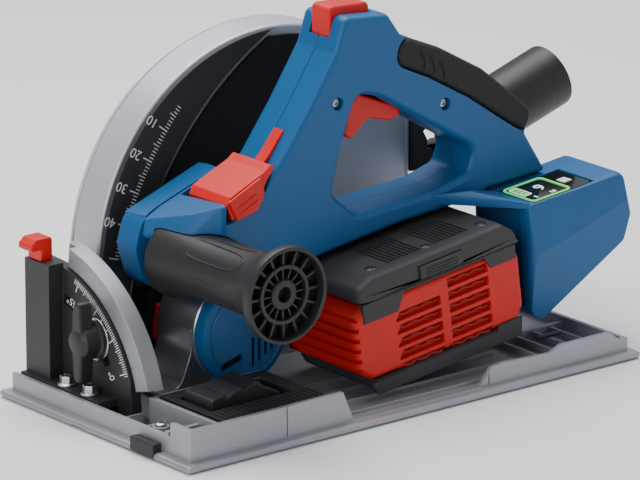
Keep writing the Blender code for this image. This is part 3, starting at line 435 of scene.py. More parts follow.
def castAlloy(name, colour, roughness=0.42, metallic=0.75, grain=900.0, depth=0.3):
    # blasted and lacquered casting: fine sparkle, soft stains, faint draw marks
    finish = Finish(name, colour, roughness, metallic)
    cloud = finish.noise(16.0, 5.0)
    speck = finish.noise(grain, 2.0, 0.7)
    marks = finish.noise(1.0, 3.0, place=finish.stretched((30.0, 420.0, 420.0)))
    finish.shades(cloud * 0.45 + speck * 0.35 + marks * 0.2, 0.9, 1.07)
    finish.feed("Roughness", cloud * 0.2 + speck * 0.12 + (roughness - 0.16))
    finish.bump(speck * 0.8 + marks * 0.2, depth, 0.00012)
    return finish.material


def turnedSteel(name, colour, roughness=0.28, scale=(60.0, 2600.0, 60.0)):
    finish = Finish(name, colour, roughness, 1.0)
    brush = finish.noise(1.0, 3.0, 0.6, finish.stretched(scale))
    cloud = finish.noise(40.0, 3.0)
    finish.shades(brush * 0.6 + cloud * 0.4, 0.86, 1.08)
    finish.feed("Roughness", brush * 0.18 + cloud * 0.12 + (roughness - 0.14))
    finish.bump(brush, 0.12, 0.00008)
    return finish.material


def gripRubber(name, colour):
    # small raised diamonds moulded over the sides
    finish = Finish(name, colour, 0.7, Specular_IOR_Level=0.32)
    turn = finish.node("ShaderNodeMapping", None, {"Vector": finish.place,
                                                   "Rotation": (0, math.radians(45), 0),
                                                   "Scale": (620.0, 620.0, 620.0)})
    parts = finish.node("ShaderNodeSeparateXYZ", None, {"Vector": turn}, "X")
    other = Value(finish, parts.socket.node.outputs["Z"])
    waves = [finish.node("ShaderNodeMath", {"operation": "SINE"}, {0: part * 2.0}) for part in (parts, other)]
    diamonds = waves[0] * waves[1] * 0.5 + 0.5
    fine = finish.noise(1800.0, 2.0)
    cloud = finish.noise(30.0, 3.0)
    finish.shades(cloud * 0.5 + diamonds * 0.5, 0.8, 1.25)
    finish.feed("Roughness", cloud * 0.16 + diamonds * 0.1 + 0.52)
    finish.bump(diamonds * 0.85 + fine * 0.15, 0.7, 0.00028)
    return finish.material


def printedInk(name, colour, glow=0.0):
    finish = Finish(name, colour, 0.55)
    finish.shades(finish.noise(300.0, 3.0), 0.9, 1.04)
    if glow:
        finish.shader.inputs["Emission Color"].default_value = (*colour, 1)
        finish.shader.inputs["Emission Strength"].default_value = glow
    return finish.material


def glossPanel(name, colour):
    finish = Finish(name, colour, 0.12, Coat_Weight=0.6, Coat_Roughness=0.05)
    cloud = finish.noise(120.0, 4.0)
    finish.shades(cloud, 0.7, 1.3)
    finish.feed("Roughness", cloud * 0.08 + 0.07)
    return finish.material


def woundCopper(name, colour):
    finish = Finish(name, colour, 0.35, 0.85)
    strands = finish.node("ShaderNodeTexWave", {"bands_direction": "Y"},
                          {"Vector": finish.place, "Scale": 700.0})
    finish.shades(strands, 0.55, 1.15)
    finish.bump(strands, 0.6, 0.0002)
    return finish.material


finishes = {
    "base_alloy": castAlloy("baseAlloy", (0.36, 0.365, 0.4), 0.46, 0.55),
    "guard_alloy": castAlloy("guardLacquer", (0.6, 0.605, 0.66), 0.42, 0.45, 1300.0, 0.15),
    "trunnion_alloy": castAlloy("archAlloy", (0.33, 0.335, 0.36), 0.44, 0.5, 1100.0, 0.2),
    "gear_case_alloy": castAlloy("gearCaseAlloy", (0.42, 0.425, 0.44), 0.32, 0.9, 700.0, 0.2),
    "black_casting": castAlloy("blackCasting", (0.022, 0.022, 0.024), 0.5, 0.05, 1000.0, 0.4),
    "blue_shell": mouldedPlastic("blueShell", (0.0015, 0.092, 0.26), 0.46, 1500.0, 0.4, 0.07),
    "red_plastic": mouldedPlastic("redPlastic", (0.66, 0.008, 0.004), 0.42, 1600.0, 0.2),
    "battery_red": mouldedPlastic("batteryRed", (0.6, 0.01, 0.005), 0.55, 1500.0, 0.35),
    # darker copy of the battery red: painted shade for the ribs inside the pack windows
    "shaded_red": mouldedPlastic("paintedShadeRed", (0.3, 0.006, 0.004), 0.6, 1500.0, 0.3),
    "battery_grey": mouldedPlastic("batteryGrey", (0.036, 0.036, 0.038), 0.6, 1200.0, 0.5, 0.1),
    "black_plastic": mouldedPlastic("blackPlastic", (0.017, 0.017, 0.019), 0.46, 1400.0, 0.4, 0.1),
    "scale_plastic": mouldedPlastic("scalePlastic", (0.028, 0.028, 0.029), 0.55, 1300.0, 0.3, 0.08),
    "duct_plastic": mouldedPlastic("ductPlastic", (0.03, 0.03, 0.033), 0.5, 1300.0, 0.35, 0.08),
    "grip_rubber": gripRubber("gripRubber", (0.016, 0.016, 0.017)),
    "strip_rubber": mouldedPlastic("stripRubber", (0.014, 0.014, 0.015), 0.7, 900.0, 0.3, 0.1),
    "display_glass": glossPanel("displayGlass", (0.004, 0.005, 0.005)),
    "circuit_board": mouldedPlastic("circuitBoard", (0.01, 0.12, 0.05), 0.4, 500.0, 0.2, 0.25),
    "winding_copper": woundCopper("windingCopper", (0.55, 0.22, 0.07)),
    "bright_steel": turnedSteel("brightSteel", (0.5, 0.5, 0.52)),
    "blade_steel": turnedSteel("bladeSteel", (0.42, 0.42, 0.45), 0.3, (900.0, 60.0, 900.0)),
}
whiteInk = printedInk("whiteInk", (0.78, 0.78, 0.78))
litWhite = printedInk("litWhite", (0.85, 0.88, 0.86), 0.9)
litGreen = printedInk("litGreen", (0.12, 0.62, 0.14), 0.9)
# near-black finish that paints the shade inside hollows; on the recess liner it also stands for the liner's
# own black
blackAndPaintedShade = mouldedPlastic("blackAndPaintedShade", (0.004, 0.004, 0.005), 0.8, 900.0, 0.1)
print("finishes ready:", len(finishes))


def dressed(piece, slot, body, *nodes, finish=None):
    piece.data.materials.clear()
    piece.data.materials.append(finish or finishes[slot])
    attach(piece, body)
    if nodes:
        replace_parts(piece, *nodes)
    return piece


slotOf = {part["node"]: part["material_slot"] for part in frame["record"]["subparts"]}


def homeOf(node):
    return frame["nodes"][node]["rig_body"]


def kept(piece, node, finish=None):
    return dressed(piece, slotOf[node], homeOf(node), node, finish=finish)


def extra(piece, node, slot, finish=None):
    # a detail that moves with a node but doesn't stand for it
    return dressed(piece, slot, homeOf(node), finish=finish)


def rawCopy(node):
    bm = bmesh.new()
    bm.from_mesh(frame["nodes"][node].data)
    bmesh.ops.remove_doubles(bm, verts=bm.verts, dist=2e-6)
    bmesh.ops.dissolve_limit(bm, angle_limit=math.radians(1.5), verts=bm.verts, edges=bm.edges)
    return stored(node + "Skin", bm)


def starPoints(cx, cy, outer, inner):
    reaches = [outer if i % 2 else inner for i in range(12)]
    return [(cx + r * math.cos(i * math.pi / 6), cy + r * math.sin(i * math.pi / 6))
            for i, r in enumerate(reaches)]


def torxScrew(name, place, axis, radius=3.2, depth=1.2):
    # a pan head with a six-pointed socket
    head = turned(name, [(0, depth), (radius * 0.7, depth), (radius * 0.95, depth * 0.6), (radius, 0),
                         (0, 0)],
                  place, axis, 40)
    socket = plate(name + "Socket", starPoints(0, 0, radius * 0.5, radius * 0.36), depth * 0.2, depth + 1,
                   "Z")
    socket.data.transform(Matrix.Translation(Vector(place) * mm) @ axisTurn(axis))
    return edged(carve(head, socket), 0)


# ---- base plate: cast walls, pad, clamp lever, knob

baseSet = {"edge": 0.55, "grooves": (-95.0, 56.0), "padRibs": 22}
basePlate = rawCopy("base_plate")
cuts = [block("wallGroove", (x - 0.5, -86, 5.4), (x + 0.5, -84.0, 26)) for x in baseSet["grooves"]]
cuts += [block("soleGroove", (-180, y - 0.6, -2), (180, y + 0.6, 0.5)) for y in (-70, -52, -34, 28)]
basePlate = edged(carve(basePlate, *cuts), baseSet["edge"])
kept(basePlate, "base_plate")
ribs = [block("pocketRib", (-163, y, 4.3), (-143, y + 1.6, 11.5), 0.3) for y in (-34, -14, 6)]
ribs += [block("pocketRib", (x, -82, 4.3), (x + 1.6, -31, 8.6), 0.3) for x in (108, 122, 136, 150)]
ribs += [block("pocketRib", (-52, y, 4.3), (98, y + 1.6, 6.4), 0.3) for y in (-76, -58, -40, -22)]
extra(edged(merged("basePocketRibs", ribs), 0), "base_plate", "base_alloy")
extra(torxScrew("basePostScrew", (-155, -45, 15.2), (0, 0, 1), 3.6), "base_plate", "bright_steel")

pad = rawCopy("rail_grip_pad")
ridge = block("padRidge", (-136.4, -81.9, 7), (-134.9, -81.2, 20.8), 0.25)
repeated(ridge, baseSet["padRibs"], step=(3.4, 0, 0), finish=finishes["black_plastic"])
lip = block("padLip", (-137, -81.4, 21.6), (-61, -78.8, 22.9), 0.5)
kept(merged("railGripPad", [edged(pad, 0.7), edged(ridge, 0), edged(lip, 0)]), "rail_grip_pad")
treads = block("padTread", (-134, -77.6, 22.2), (-132.6, -63.5, 23.2), 0.3)
repeated(treads, 18, step=(4.1, 0, 0), finish=finishes["black_plastic"])
extra(edged(treads, 0), "rail_grip_pad", "black_plastic")

leverSide = roundCorners([(-129, 12, 1), (-129, 27, 2), (-119, 29.4, 5), (-118, 26.5, 1), (-107, 31.4, 5),
                          (-106, 28.6, 1), (-96, 33, 5), (-92, 29, 1), (-80, 23, 4), (-77, 19, 2),
                          (-77, 12, 0)], 5)
kept(edged(plate("railClampLever", leverSide, -59, -33, rim=1.1), 0), "rail_clamp_lever")

fluteCount, kx, ky, kr = 22, 121.0, -63.0, 18.6
knobEdge = [(kx + (kr - 0.8 * (1 + math.cos(fluteCount * a))) * math.cos(a),
             ky + (kr - 0.8 * (1 + math.cos(fluteCount * a))) * math.sin(a))
            for a in [2 * math.pi * i / 144 for i in range(144)]]
railKnob = plate("railKnob", knobEdge, 7, 17.4, "Z", 1.2, 4)
dish = turned("knobDish", [(0, 3), (12, 3), (10.5, 0), (0, 0)], (kx, ky, 16.3), (0, 0, 1), 64)
bar = plate("knobBar", roundCorners([(kx - 9.5, ky - 1.6, 1.2), (kx - 9.5, ky + 1.6, 1.2),
                                     (kx + 9.5, ky + 1.6, 1.2), (kx + 9.5, ky - 1.6, 1.2)]), 16.0, 18.2, "Z",
            0.5)
kept(edged(fuse(carve(railKnob, dish), bar), 0), "rail_knob")
for node, width in (("splinter_guard", 0.5), ("front_insert", 0.5)):
    kept(edged(rawCopy(node), width), node)
print("base done")


# ---- bevel brackets, arches, knobs and the angle scale

bevelSet = {"face": -147.0, "zero": 156.5, "outer": 83.0, "numerals": 67.5, "pointer": 155.2}


def onQuadrant(radius, degrees, lift=0.0):
    a = math.radians(bevelSet["zero"] - degrees)
    return (bevelSet["face"] - lift, bladeY + radius * math.cos(a), radius * math.sin(a))


def swung(piece, x, degrees):
    piece.data.transform(Matrix.Translation(Vector((x, bladeY, 0)) * mm)
                         @ Matrix.Rotation(math.radians(degrees - 90), 4, "X"))
    return piece


for node in ("front_bevel_bracket", "rear_bevel_bracket"):
    kept(edged(rawCopy(node), 0.9, 3), node)
for side, radius, node in ((-1, 84.0, "front_trunnion"), (1, 54.0, "rear_trunnion")):
    reach = radius + 12
    low, high = sorted((side * 139.7, side * 133.3))
    body = arcPoints(bladeY, 0, reach, 97, 165, 60) + [(bladeY - 12, 9), (bladeY - 3, 14)]
    arch = plate(node + "Arch", body, low, high, "X", 0.6)
    bandLow, bandHigh = sorted((side * 145.0, side * 136.7))
    ring = arcPoints(bladeY, 0, reach - 0.05, 101.5, 164.5, 60) + arcPoints(bladeY, 0, radius + 0.4, 164.5,
                                                                            101.5, 60)
    band = plate(node + "Band", ring, bandLow, bandHigh, "X", 0.7)
    if side < 0:
        mark = block("archMark", (-146, -0.5, 85), (-144.6, 0.5, 94))
        band = carve(band, swung(mark, 0, bevelSet["pointer"]))
    kept(edged(fuse(arch, band), 0), node)

ticks = []
for degree in range(-1, 48):
    length = 7.5 if degree % 15 == 0 else 5.0 if degree % 5 == 0 else 3.4
    half = 0.34 if degree % 15 == 0 else 0.24
    tick = block("bevelTick", (-0.05, -half, bevelSet["outer"] - length), (0.05, half, bevelSet["outer"]))
    ticks.append(swung(tick, bevelSet["face"], bevelSet["zero"] - degree))
for degree in (0, 15, 30, 45):
    a = math.radians(bevelSet["zero"] - degree)
    right, up = (0, math.sin(a), -math.cos(a)), (0, -math.cos(a), -math.sin(a))
    place = Vector(onQuadrant(bevelSet["numerals"], degree, 0.02))
    ticks.append(lettered("bevelNumber", str(degree), 6.6, place, right, up))
    offset = Vector(right) * (2.6 if degree == 0 else 4.6) + Vector(up) * 2.0
    dot = turned("degreeMark", [(0.5, 0.06), (0.95, 0.06), (0.95, -0.06), (0.5, -0.06)], place + offset,
                 (-1, 0, 0), 20)
    ticks.append(dot)
extra(merged("bevelScale", ticks), "front_bevel_bracket", "scale_plastic", whiteInk)

for side, radius, wing, name, body in ((-1, 84.0, 24.0, "front_bevel_knob", "front_knob"),
                                       (1, 54.0, 8.3, "rear_bevel_knob", "rear_knob")):
    mid = radius - 18
    y = bladeY - mid * math.cos(math.radians(45))
    z = mid * math.sin(math.radians(45))
    start = (side * 147.3, y, z)
    hub = turned("knobHub", [(0, 15), (5, 15), (7, 14.2), (9, 12), (9.4, 3.4), (11.2, 2.6), (11.2, 1.2),
                             (9.6, 0.4),
                             (9.2, 0), (0, 0)], start, (side, 0, 0), 64)
    low, high = sorted((start[0] + side * 4.5, start[0] + side * 14))
    shape = roundCorners([(y - 4.6, z - 4, 3), (y - 3.2, z - wing, 3), (y + 3.2, z - wing, 3),
                          (y + 4.6, z - 4, 3),
                          (y + 4.6, z + 4, 3), (y + 3.2, z + wing, 3), (y - 3.2, z + wing, 3),
                          (y - 4.6, z + 4, 3)], 4)
    kept(edged(fuse(hub, plate("knobWing", shape, low, high, "X", 1.4, 4)), 0.3), name)
    washer = turned("knobWasher", [(9.6, 0.9), (12.4, 0.9), (12.8, 0.5), (12.8, 0), (9.6, 0)], start,
                    (side, 0, 0), 64)
    extra(edged(washer, 0), name, "bright_steel")

hookSide = roundCorners([(-156, 85.4, 0), (-147.6, 85.4, 0), (-147.6, 99, 2), (-159, 99, 2.5),
                         (-163, 95.5, 2),
                         (-163, 92, 1), (-156, 92, 1.5)], 5)
hook = plate("undercutHook", hookSide, 66.5, 79.5, rim=1.0)
kept(edged(fuse(hook, block("hookStem", (-154.2, 66.8, 70), (-149, 79.2, 86))), 0), "undercut_button")
for node, y in (("bracket_bolt_a", 22.0), ("bracket_bolt_b", 44.0)):
    start = Vector((-155.2, y, 16.3))
    flange = turned("boltFlange", [(0, 1.5), (4.6, 1.5), (5.5, 0.9), (5.6, 0), (0, 0)], start, (0, 0, 1), 48)
    hexes = [(start.x + 4.3 * math.cos(math.radians(60 * i + 12)),
              y + 4.3 * math.sin(math.radians(60 * i + 12)))
             for i in range(6)]
    shank = plate("boltHex", hexes, 17.2, 21.9, "Z", 0.6)
    socket = plate("boltSocket", starPoints(start.x, y, 2.4, 1.7), 19.4, 24, "Z")
    kept(edged(carve(fuse(flange, shank), socket), 0.12), node)
print("bevel done")


# ---- guard, liner and the depth scale

guardSet = {"centre": (6.0, 74.0), "radius": 127.0, "rear": 115.0, "wall": 2.5, "screws": 118.5}


def guardSide(inset, bottom, steps=110):
    # the guard's outline, drawn in evenly from its edge
    gx, gz = guardSet["centre"]
    radius, rear = guardSet["radius"] - inset, guardSet["rear"] - inset
    last = 270 - math.degrees(math.acos(max(-1.0, min(1.0, (gz - bottom) / radius))))
    first = math.degrees(math.acos((rear - gx) / radius))
    return arcPoints(gx, gz, radius, first, last, steps) + [(rear, bottom)]


def ringPart(inner, outer, first, last, steps=40):
    return arcPoints(*pivot, outer, first, last, steps) + arcPoints(*pivot, inner, last, first, steps)


guard = plate("guardShell", guardSide(0, 9), 59, 84, rim=1.6, steps=4)
guard = fuse(guard, block("guardLug", (-133, 60.5, 22), (-115, 79, 66), 1.0),
             plate("guardPad", [(84, 9), (133, 9), (133, 40), (84, 40)], 59, 61.5, rim=0.4))
guard = carve(guard, plate("guardInside", guardSide(guardSet["wall"], -20), 61.5, 89),
              plate("bossSweep", ringPart(86, 122, 132, 193), 54, 62.5),
              block("farTrim", (-150, 69.5, -10), (150, 89, 27)),
              block("ductHole", (105, 64, 102), (120, 80, 128)),
              rod("pinHole", onLine(pivot, 54), (0, 1, 0), 12, 5.3))
guard = carve(guard, block("lugCore", (-127, 61.5, 27), (-100, 77, 60)),
              plate("rimStep", guardSide(2.6, 12), 58, 59.5))
kept(edged(guard, 0.25), "blade_guard")

cover = plate("guardCover", guardSide(0, 27), 84.3, 86.8, rim=1.1, steps=4)
cover = fuse(cover, plate("coverLip", guardSide(3, 30), 82, 85.3))
cover = carve(cover, plate("coverHollow", guardSide(5.5, 22), 79, 84.3),
              plate("boltWindow", ringPart(91, 117, 136, 170), 79, 92),
              plate("coverPanel", guardSide(15, 46, 80), 86.2, 90))
kept(edged(cover, 0.3), "guard_cover")
screws = []
for degrees in (35, 75, 115, 155, 190):
    place = arcPoints(*guardSet["centre"], guardSet["screws"], degrees, degrees, 1)[0]
    screws.append(torxScrew("coverScrew", onLine(place, 87.15), (0, -1, 0), 3.0, 1.0))
extra(merged("coverScrews", screws), "guard_cover", "bright_steel")

liner = plate("recessLiner", guardSide(6, 11), 56.7, 58.7)
keep = turned("linerKeep", [(0, 40), (204.4, 40), (204.4, 0), (0, 0)], onLine(pivot, 40), (0, 1, 0), 240)
combined(liner, [keep], "INTERSECT")
liner = carve(liner, rod("linerInner", onLine(pivot, 40), (0, 1, 0), 40, 124, 160))
# the liner gets the near-black finish: its own black plus painted shade of the recess
kept(edged(liner, 0.2), "recess_liner", blackAndPaintedShade)

scaleSet = {"face": 55.1, "ticks": 222.0, "numerals": 235.6, "zero": 42.6, "pitch": 0.516}
scaleFace = plate("depthScale", guardSide(1, 10), scaleSet["face"], 58.7, rim=0.5)
bevelRing = turned("scaleInner", [(0, 50), (205.0, 50), (205.0, 5.1), (209.0, 0.1), (209.0, -10), (0, -10)],
                   onLine(pivot, 55), (0, 1, 0), 300)
kept(edged(carve(scaleFace, bevelRing), 0), "depth_scale_plate")

marks = []
for depth in range(2, 51):
    a = math.radians(scaleSet["zero"] - scaleSet["pitch"] * depth)
    length = 7.2 if depth % 10 == 0 else 5.0 if depth % 5 == 0 else 3.2
    half = 0.36 if depth % 10 == 0 else 0.26
    mark = block("depthTick", (scaleSet["ticks"], -0.05, -half), (scaleSet["ticks"] + length, 0.05, half))
    mark.data.transform(Matrix.Translation(Vector(onLine(pivot, scaleSet["face"])) * mm)
                        @ Matrix.Rotation(math.pi + a, 4, "Y"))
    marks.append(mark)
for depth in (10, 20, 30, 40, 52):
    a = math.radians(scaleSet["zero"] - scaleSet["pitch"] * depth)
    across, rise = scaleSet["numerals"] * math.cos(a), scaleSet["numerals"] * math.sin(a)
    place = (pivot[0] - across, scaleSet["face"] - 0.02, pivot[1] + rise)
    size = 8.4 if depth < 52 else 5.6
    marks.append(lettered("depthNumber", str(depth), size, place, (-math.cos(a), 0, math.sin(a)),
                          (-math.sin(a), 0, -math.cos(a))))
extra(merged("depthScaleMarks", marks), "depth_scale_plate", "scale_plastic", whiteInk)
kept(edged(turned("plungePin", [(0, 24.3), (6.6, 24.3), (8, 23.3), (8, 21.3), (5, 21.3), (5, 0.4), (4.6, 0),
                                (0, 0)],
                  onLine(pivot, 65), (0, -1, 0), 48), 0), "plunge_pin")
for node, width in (("depth_stop", 0.5), ("depth_stop_button", 0.5), ("dust_duct", 1.0)):
    kept(edged(rawCopy(node), width, 3), node)
print("guard done")


# ---- gear case, gears, arbor and blade

for node, width in (("gear_case", 0.8), ("arbor_gear", 0.25), ("idler_gear", 0.25), ("rotor", 0.25),
                    ("cooling_fan", 0.3), ("rear_bearing", 0.3), ("motor_bearing", 0.3),
                    ("arbor_bearing", 0.3),
                    ("trigger_switch", 0.4), ("battery_foot", 0.5), ("contact_a", 0), ("contact_b", 0),
                    ("control_board", 0.2), ("arbor", 0.3), ("stator", 0.6)):
    kept(edged(rawCopy(node), width), node)
kept(edged(turned("innerFlange", [(5.5, 4), (15, 4), (15, 1.5), (11, 0), (5.5, 0)], onLine(arbor, 67.8),
                  (0, 1, 0), 72), 0.2),
     "inner_flange")
kept(edged(turned("outerFlange", [(5.5, 3), (13, 3), (15, 1.5), (15, 0), (5.5, 0)], onLine(arbor, 74.2),
                  (0, 1, 0), 72), 0.2),
     "outer_flange")
bolt = turned("arborBolt", [(0, 4.5), (6.2, 4.5), (7.2, 3.8), (7.2, 0), (0, 0)], onLine(arbor, 77.8),
              (0, 1, 0), 60)
kept(edged(carve(bolt, rod("boltHex", onLine(arbor, 79.5), (0, 1, 0), 6, 3.4, 6)), 0.15), "arbor_bolt")

bladeSet = {"teeth": 24, "thick": 1.24, "kerf": 1.8, "slots": 4}
edge = []
for i in range(bladeSet["teeth"]):
    for share, reach in ((0.0, 70.0), (0.05, 69.3), (0.17, 65.6), (0.3, 63.9), (0.42, 64.2), (0.55, 65.8),
                         (0.7, 67.6), (0.86, 68.6)):
        a = math.radians((i + share) * 360 / bladeSet["teeth"])
        edge.append((reach * math.cos(a), 18 + reach * math.sin(a)))
disc = plate("sawBlade", edge, bladeY - bladeSet["thick"] / 2, bladeY + bladeSet["thick"] / 2)
gaps = [rod("bladeBore", onLine(arbor, 60), (0, 1, 0), 30, 5.5, 60)]
for i in range(bladeSet["slots"]):
    turn = 45 + i * 90
    end = rod("slotEnd", (52, 60, 18), (0, 1, 0), 30, 1.3, 20)
    slit = block("slotSlit", (52, 60, 17.6), (75, 90, 18.4))
    gaps += [tipped(end, (0, 0, 18), (0, 1, 0), turn), tipped(slit, (0, 0, 18), (0, 1, 0), turn)]
kept(edged(carve(disc, *gaps), 0.08), "saw_blade")
tip = plate("carbideTip", [(70, 18.1), (69.9, 15.2), (67.6, 15.0), (66.2, 17.6), (66.4, 18.2)],
            bladeY - bladeSet["kerf"] / 2, bladeY + bladeSet["kerf"] / 2, rim=0.1)
repeated(tip, bladeSet["teeth"], turn=(0, 360 / bladeSet["teeth"], 0), pivotAt=(0, bladeY, 18),
         finish=finishes["bright_steel"])
extra(edged(tip, 0), "saw_blade", "bright_steel")
print("drive done")


# ---- motor: blue end cap, silver sleeve and skirt

motorSet = {"front": -6.0, "inside": -3.2, "sleeve": 3.3, "louvres": 5, "pitch": 4.6, "rise": 2.6}
mx, mz = motor
cap = turned("motorCap", [(29.4, 9), (32, 9), (32, 2.6), (31.4, 1.0), (30.2, 0.2), (28.6, 0), (27.4, 0),
                          (27, 0.5),
                          (26.2, 0.6), (25.8, 0), (0, 0), (0, 2.6), (29.4, 2.6)],
             onLine(motor, motorSet["front"]), (0, 1, 0), 120)
slotPath = roundCorners([(mx - 20, mz - 16.5, 3), (mx - 18, mz - 21.5, 3), (mx - 2, mz - 17, 3),
                         (mx - 4, mz - 12, 3)], 5)
holes = [plate("motorSlot", slotPath, -10, 0)]
for i in range(motorSet["louvres"]):
    x, foot = mx + 4.5 + i * motorSet["pitch"], mz - 22 + i * motorSet["rise"]
    holes.append(plate("motorLouvre", roundCorners([(x - 1.2, foot, 1.1), (x + 1.2, foot, 1.1),
                                                    (x + 1.2, mz - 4, 1.1), (x - 1.2, mz - 4, 1.1)], 3), -10,
                       0))
kept(edged(carve(cap, *holes), 0.25), "motor_housing")
# a near-black disc inside the cap, seen through the slots and louvres: painted shade, not a real part
extra(edged(turned("motorPaintedShadeDisc", [(0, 2), (28, 2), (28, 0), (0, 0)], onLine(motor, motorSet["inside"]),
                   (0, 1, 0), 60), 0),
      "motor_housing", "black_plastic", blackAndPaintedShade)
sleeve = turned("motorSleeve", [(29.4, 36.2), (31.4, 36.2), (32, 35.4), (32, 1.2), (31.4, 0.4), (31.2, 0),
                                (29.4, 0)],
                onLine(motor, motorSet["sleeve"]), (0, 1, 0), 120)
extra(edged(sleeve, 0.2), "motor_housing", "gear_case_alloy")
skirt = plate("motorSkirt", roundCorners([(-94, 52, 2), (-93.4, 33, 18), (-101, 14, 10), (-112, 9.4, 1),
                                          (-112, 7.6, 0.8),
                                          (-92, 7.2, 3), (-78, 12, 8), (-70, 9.5, 2), (-52, 9.5, 2),
                                          (-36, 20, 4),
                                          (-42, 22, 2), (-62, 12, 14), (-86, 24, 12), (-91, 40, 10)], 6),
              6, 39, rim=0.8)
extra(edged(skirt, 0), "motor_housing", "gear_case_alloy")
print("motor done")


# ---- head: handle shells, grip, lever, buttons

headSet = {"near": -24.0, "far": 14.0, "screws": ((-8.2, 173.6), (73, 159.5))}
softRim = [(0, -3.4), (0.3, -2.3), (0.9, -1.3), (1.9, -0.6), (3.4, -0.15), (5.2, 0)]
headCorners = [(-121, 96, 12), (-115, 116, 14), (-92, 119, 10), (-58, 137, 60), (-31, 173, 0), (-10, 204, 8),
               (-3, 224, 5), (30, 221, 4), (40, 207, 4), (70.6, 193.6, 12), (103, 175.4, 10),
               (126.4, 156.6, 6),
               (141, 144, 5), (136, 131, 4), (150, 109, 2), (150, 104, 0), (106.5, 101, 2), (100, 97, 2),
               (40, 92.5, 6), (-20, 84, 6), (-70, 79, 8), (-78, 76, 4), (-92, 68.5, 6), (-114, 72, 14)]
sleeveCorners = [(40, 206.6, 7), (70.6, 193.8, 14), (103, 175.6, 12), (126.4, 156.8, 9), (141.2, 144.2, 7),
                 (136, 131, 7), (127, 136, 8), (112, 146, 8), (90, 161, 8), (60, 178, 10), (34, 190, 8)]
openingCorners = [(7, 177, 8), (24, 172, 6), (97, 128, 8), (92, 114, 7), (70, 108, 8), (6, 104, 10),
                  (-12, 120, 8),
                  (-3, 150, 20)]
headSide = roundCorners(headCorners, 6)
sleeveSide = roundCorners(sleeveCorners, 5)
opening = roundCorners(openingCorners, 8)


def headCutters():
    low, high = headSet["near"], headSet["far"]
    flare = [(low - 2, 4.0), (low, 4.0), (low + 0.5, 2.6), (low + 1.4, 1.3), (low + 2.6, 0.5), (low + 4, 0),
             (high - 4, 0), (high - 2.6, 0.5), (high - 1.4, 1.3), (high - 0.5, 2.6), (high, 4.0),
             (high + 2, 4.0)]
    seat = grown(sleeveSide, 0.3)
    lever = roundCorners([(-90.6, 116, 0), (-86, 116, 1), (-62, 130.6, 1), (-54.6, 142, 3), (-56, 152, 3),
                          (-90.6, 150, 0)], 4)
    return [stack("fingerGap", opening, flare), plate("sleeveSeat", seat, low - 5, high + 5),
            block("lockWell", (-7.5, -14, 204.5), (24.5, 4, 235)),
            plate("triggerWell", [(4, 166), (14, 184), (44, 172), (60, 150), (30, 140)], -13.5, 3.5),
            plate("leverSeat", lever, low - 5, high + 5), rod("leverSocket", (-60, -60, 144), (0, 1, 0), 120,
                                                              4.6),
            block("switchWell", (14, -12, 174), (41.5, 2, 186))]


near = stack("handleNear", headSide, [(headSet["near"] + d, g)
                                      for d, g in softRim] + [(-5.55, 0), (-5.15, -0.35)])
near = carve(near, block("nearTrim", (-130, -30, 60), (-70, 25, 121)),
             block("topTrim", (-130, -30, 60), (-84, 25, 150)))
shoulder = edged(hull("shoulder", [(-92, -24, 108), (-92, -24, 127.4), (-61, -24, 138.6), (-54, -24, 100),
                                   (-72, -24, 84),
                                   (-103, -11, 121.8), (-107, -11, 110), (-118, 21.9, 104),
                                   (-116, 21.9, 113.5),
                                   (-104, 21.9, 119.7), (-92, 21.9, 121.6), (-61, 21.9, 134.9),
                                   (-56, 21.9, 100),
                                   (-72, 21.9, 84)]), 2.4, 4)
near = carve(fuse(near, shoulder), *headCutters(),
             turned("auxRoom", [(0, 60), (19.2, 60), (19.2, 46), (19.9, 34), (21.3, 22), (23.5, 11),
                                (24.9, 4), (24.9, -0.2),
                                (0, -0.2)], (-98, 13, 91), (0, -1, 0), 96))
far = stack("handleFar", headSide, [(-4.85, -0.35), (-4.45, 0)] + [(headSet["far"] - d, g)
                                                                   for d, g in softRim[::-1]])
armSide = roundCorners([(-121, 96, 12), (-115, 116, 14), (-92, 119, 10), (-58, 134, 8), (-35, 120, 12),
                        (-10, 88, 6),
                        (-20, 80, 6), (-70, 79, 8), (-78, 76, 4), (-92, 68.5, 6), (-114, 72, 14)], 6)
far = fuse(far, plate("headArm", armSide, 12, 42, rim=2.4, steps=4))
armTop = hull("armTop", [(-113, 13.4, 100), (-113, 13.4, 116), (-104, 13.4, 121), (-92, 13.4, 123),
                         (-61, 13.4, 135.5),
                         (-56, 13.4, 100), (-113, 41, 100), (-114, 41, 114), (-104, 41, 117),
                         (-92, 41, 118.6),
                         (-60, 41, 133.6), (-56, 41, 100)])
far = fuse(far, armTop)
far = carve(far, *headCutters(), block("farTrim", (-130, -10, 60), (-70, 22.3, 130)))
wells = [rod("screwWell", (x, -26, z), (0, 1, 0), 5.5, 3.9) for x, z in headSet["screws"]]
near = carve(near, *wells)
kept(edged(near, 0.35), "handle_shell_near")
kept(edged(far, 0.35), "handle_shell_far")
extra(merged("handleScrews", [torxScrew("handleScrew", (x, -20.4, z), (0, -1, 0), 3.3, 1.4)
                              for x, z in headSet["screws"]]),
      "handle_shell_near", "bright_steel")
stripe = plate("neckStripe", [(-60, 137.6), (-50, 147.4), (-44.4, 154.8), (-40, 160.8), (-41, 161.6),
                              (-45.6, 156.2),
                              (-51.4, 149), (-61, 140)], -14, -5.6, rim=0.3)
extra(edged(stripe, 0), "handle_shell_near", "red_plastic")

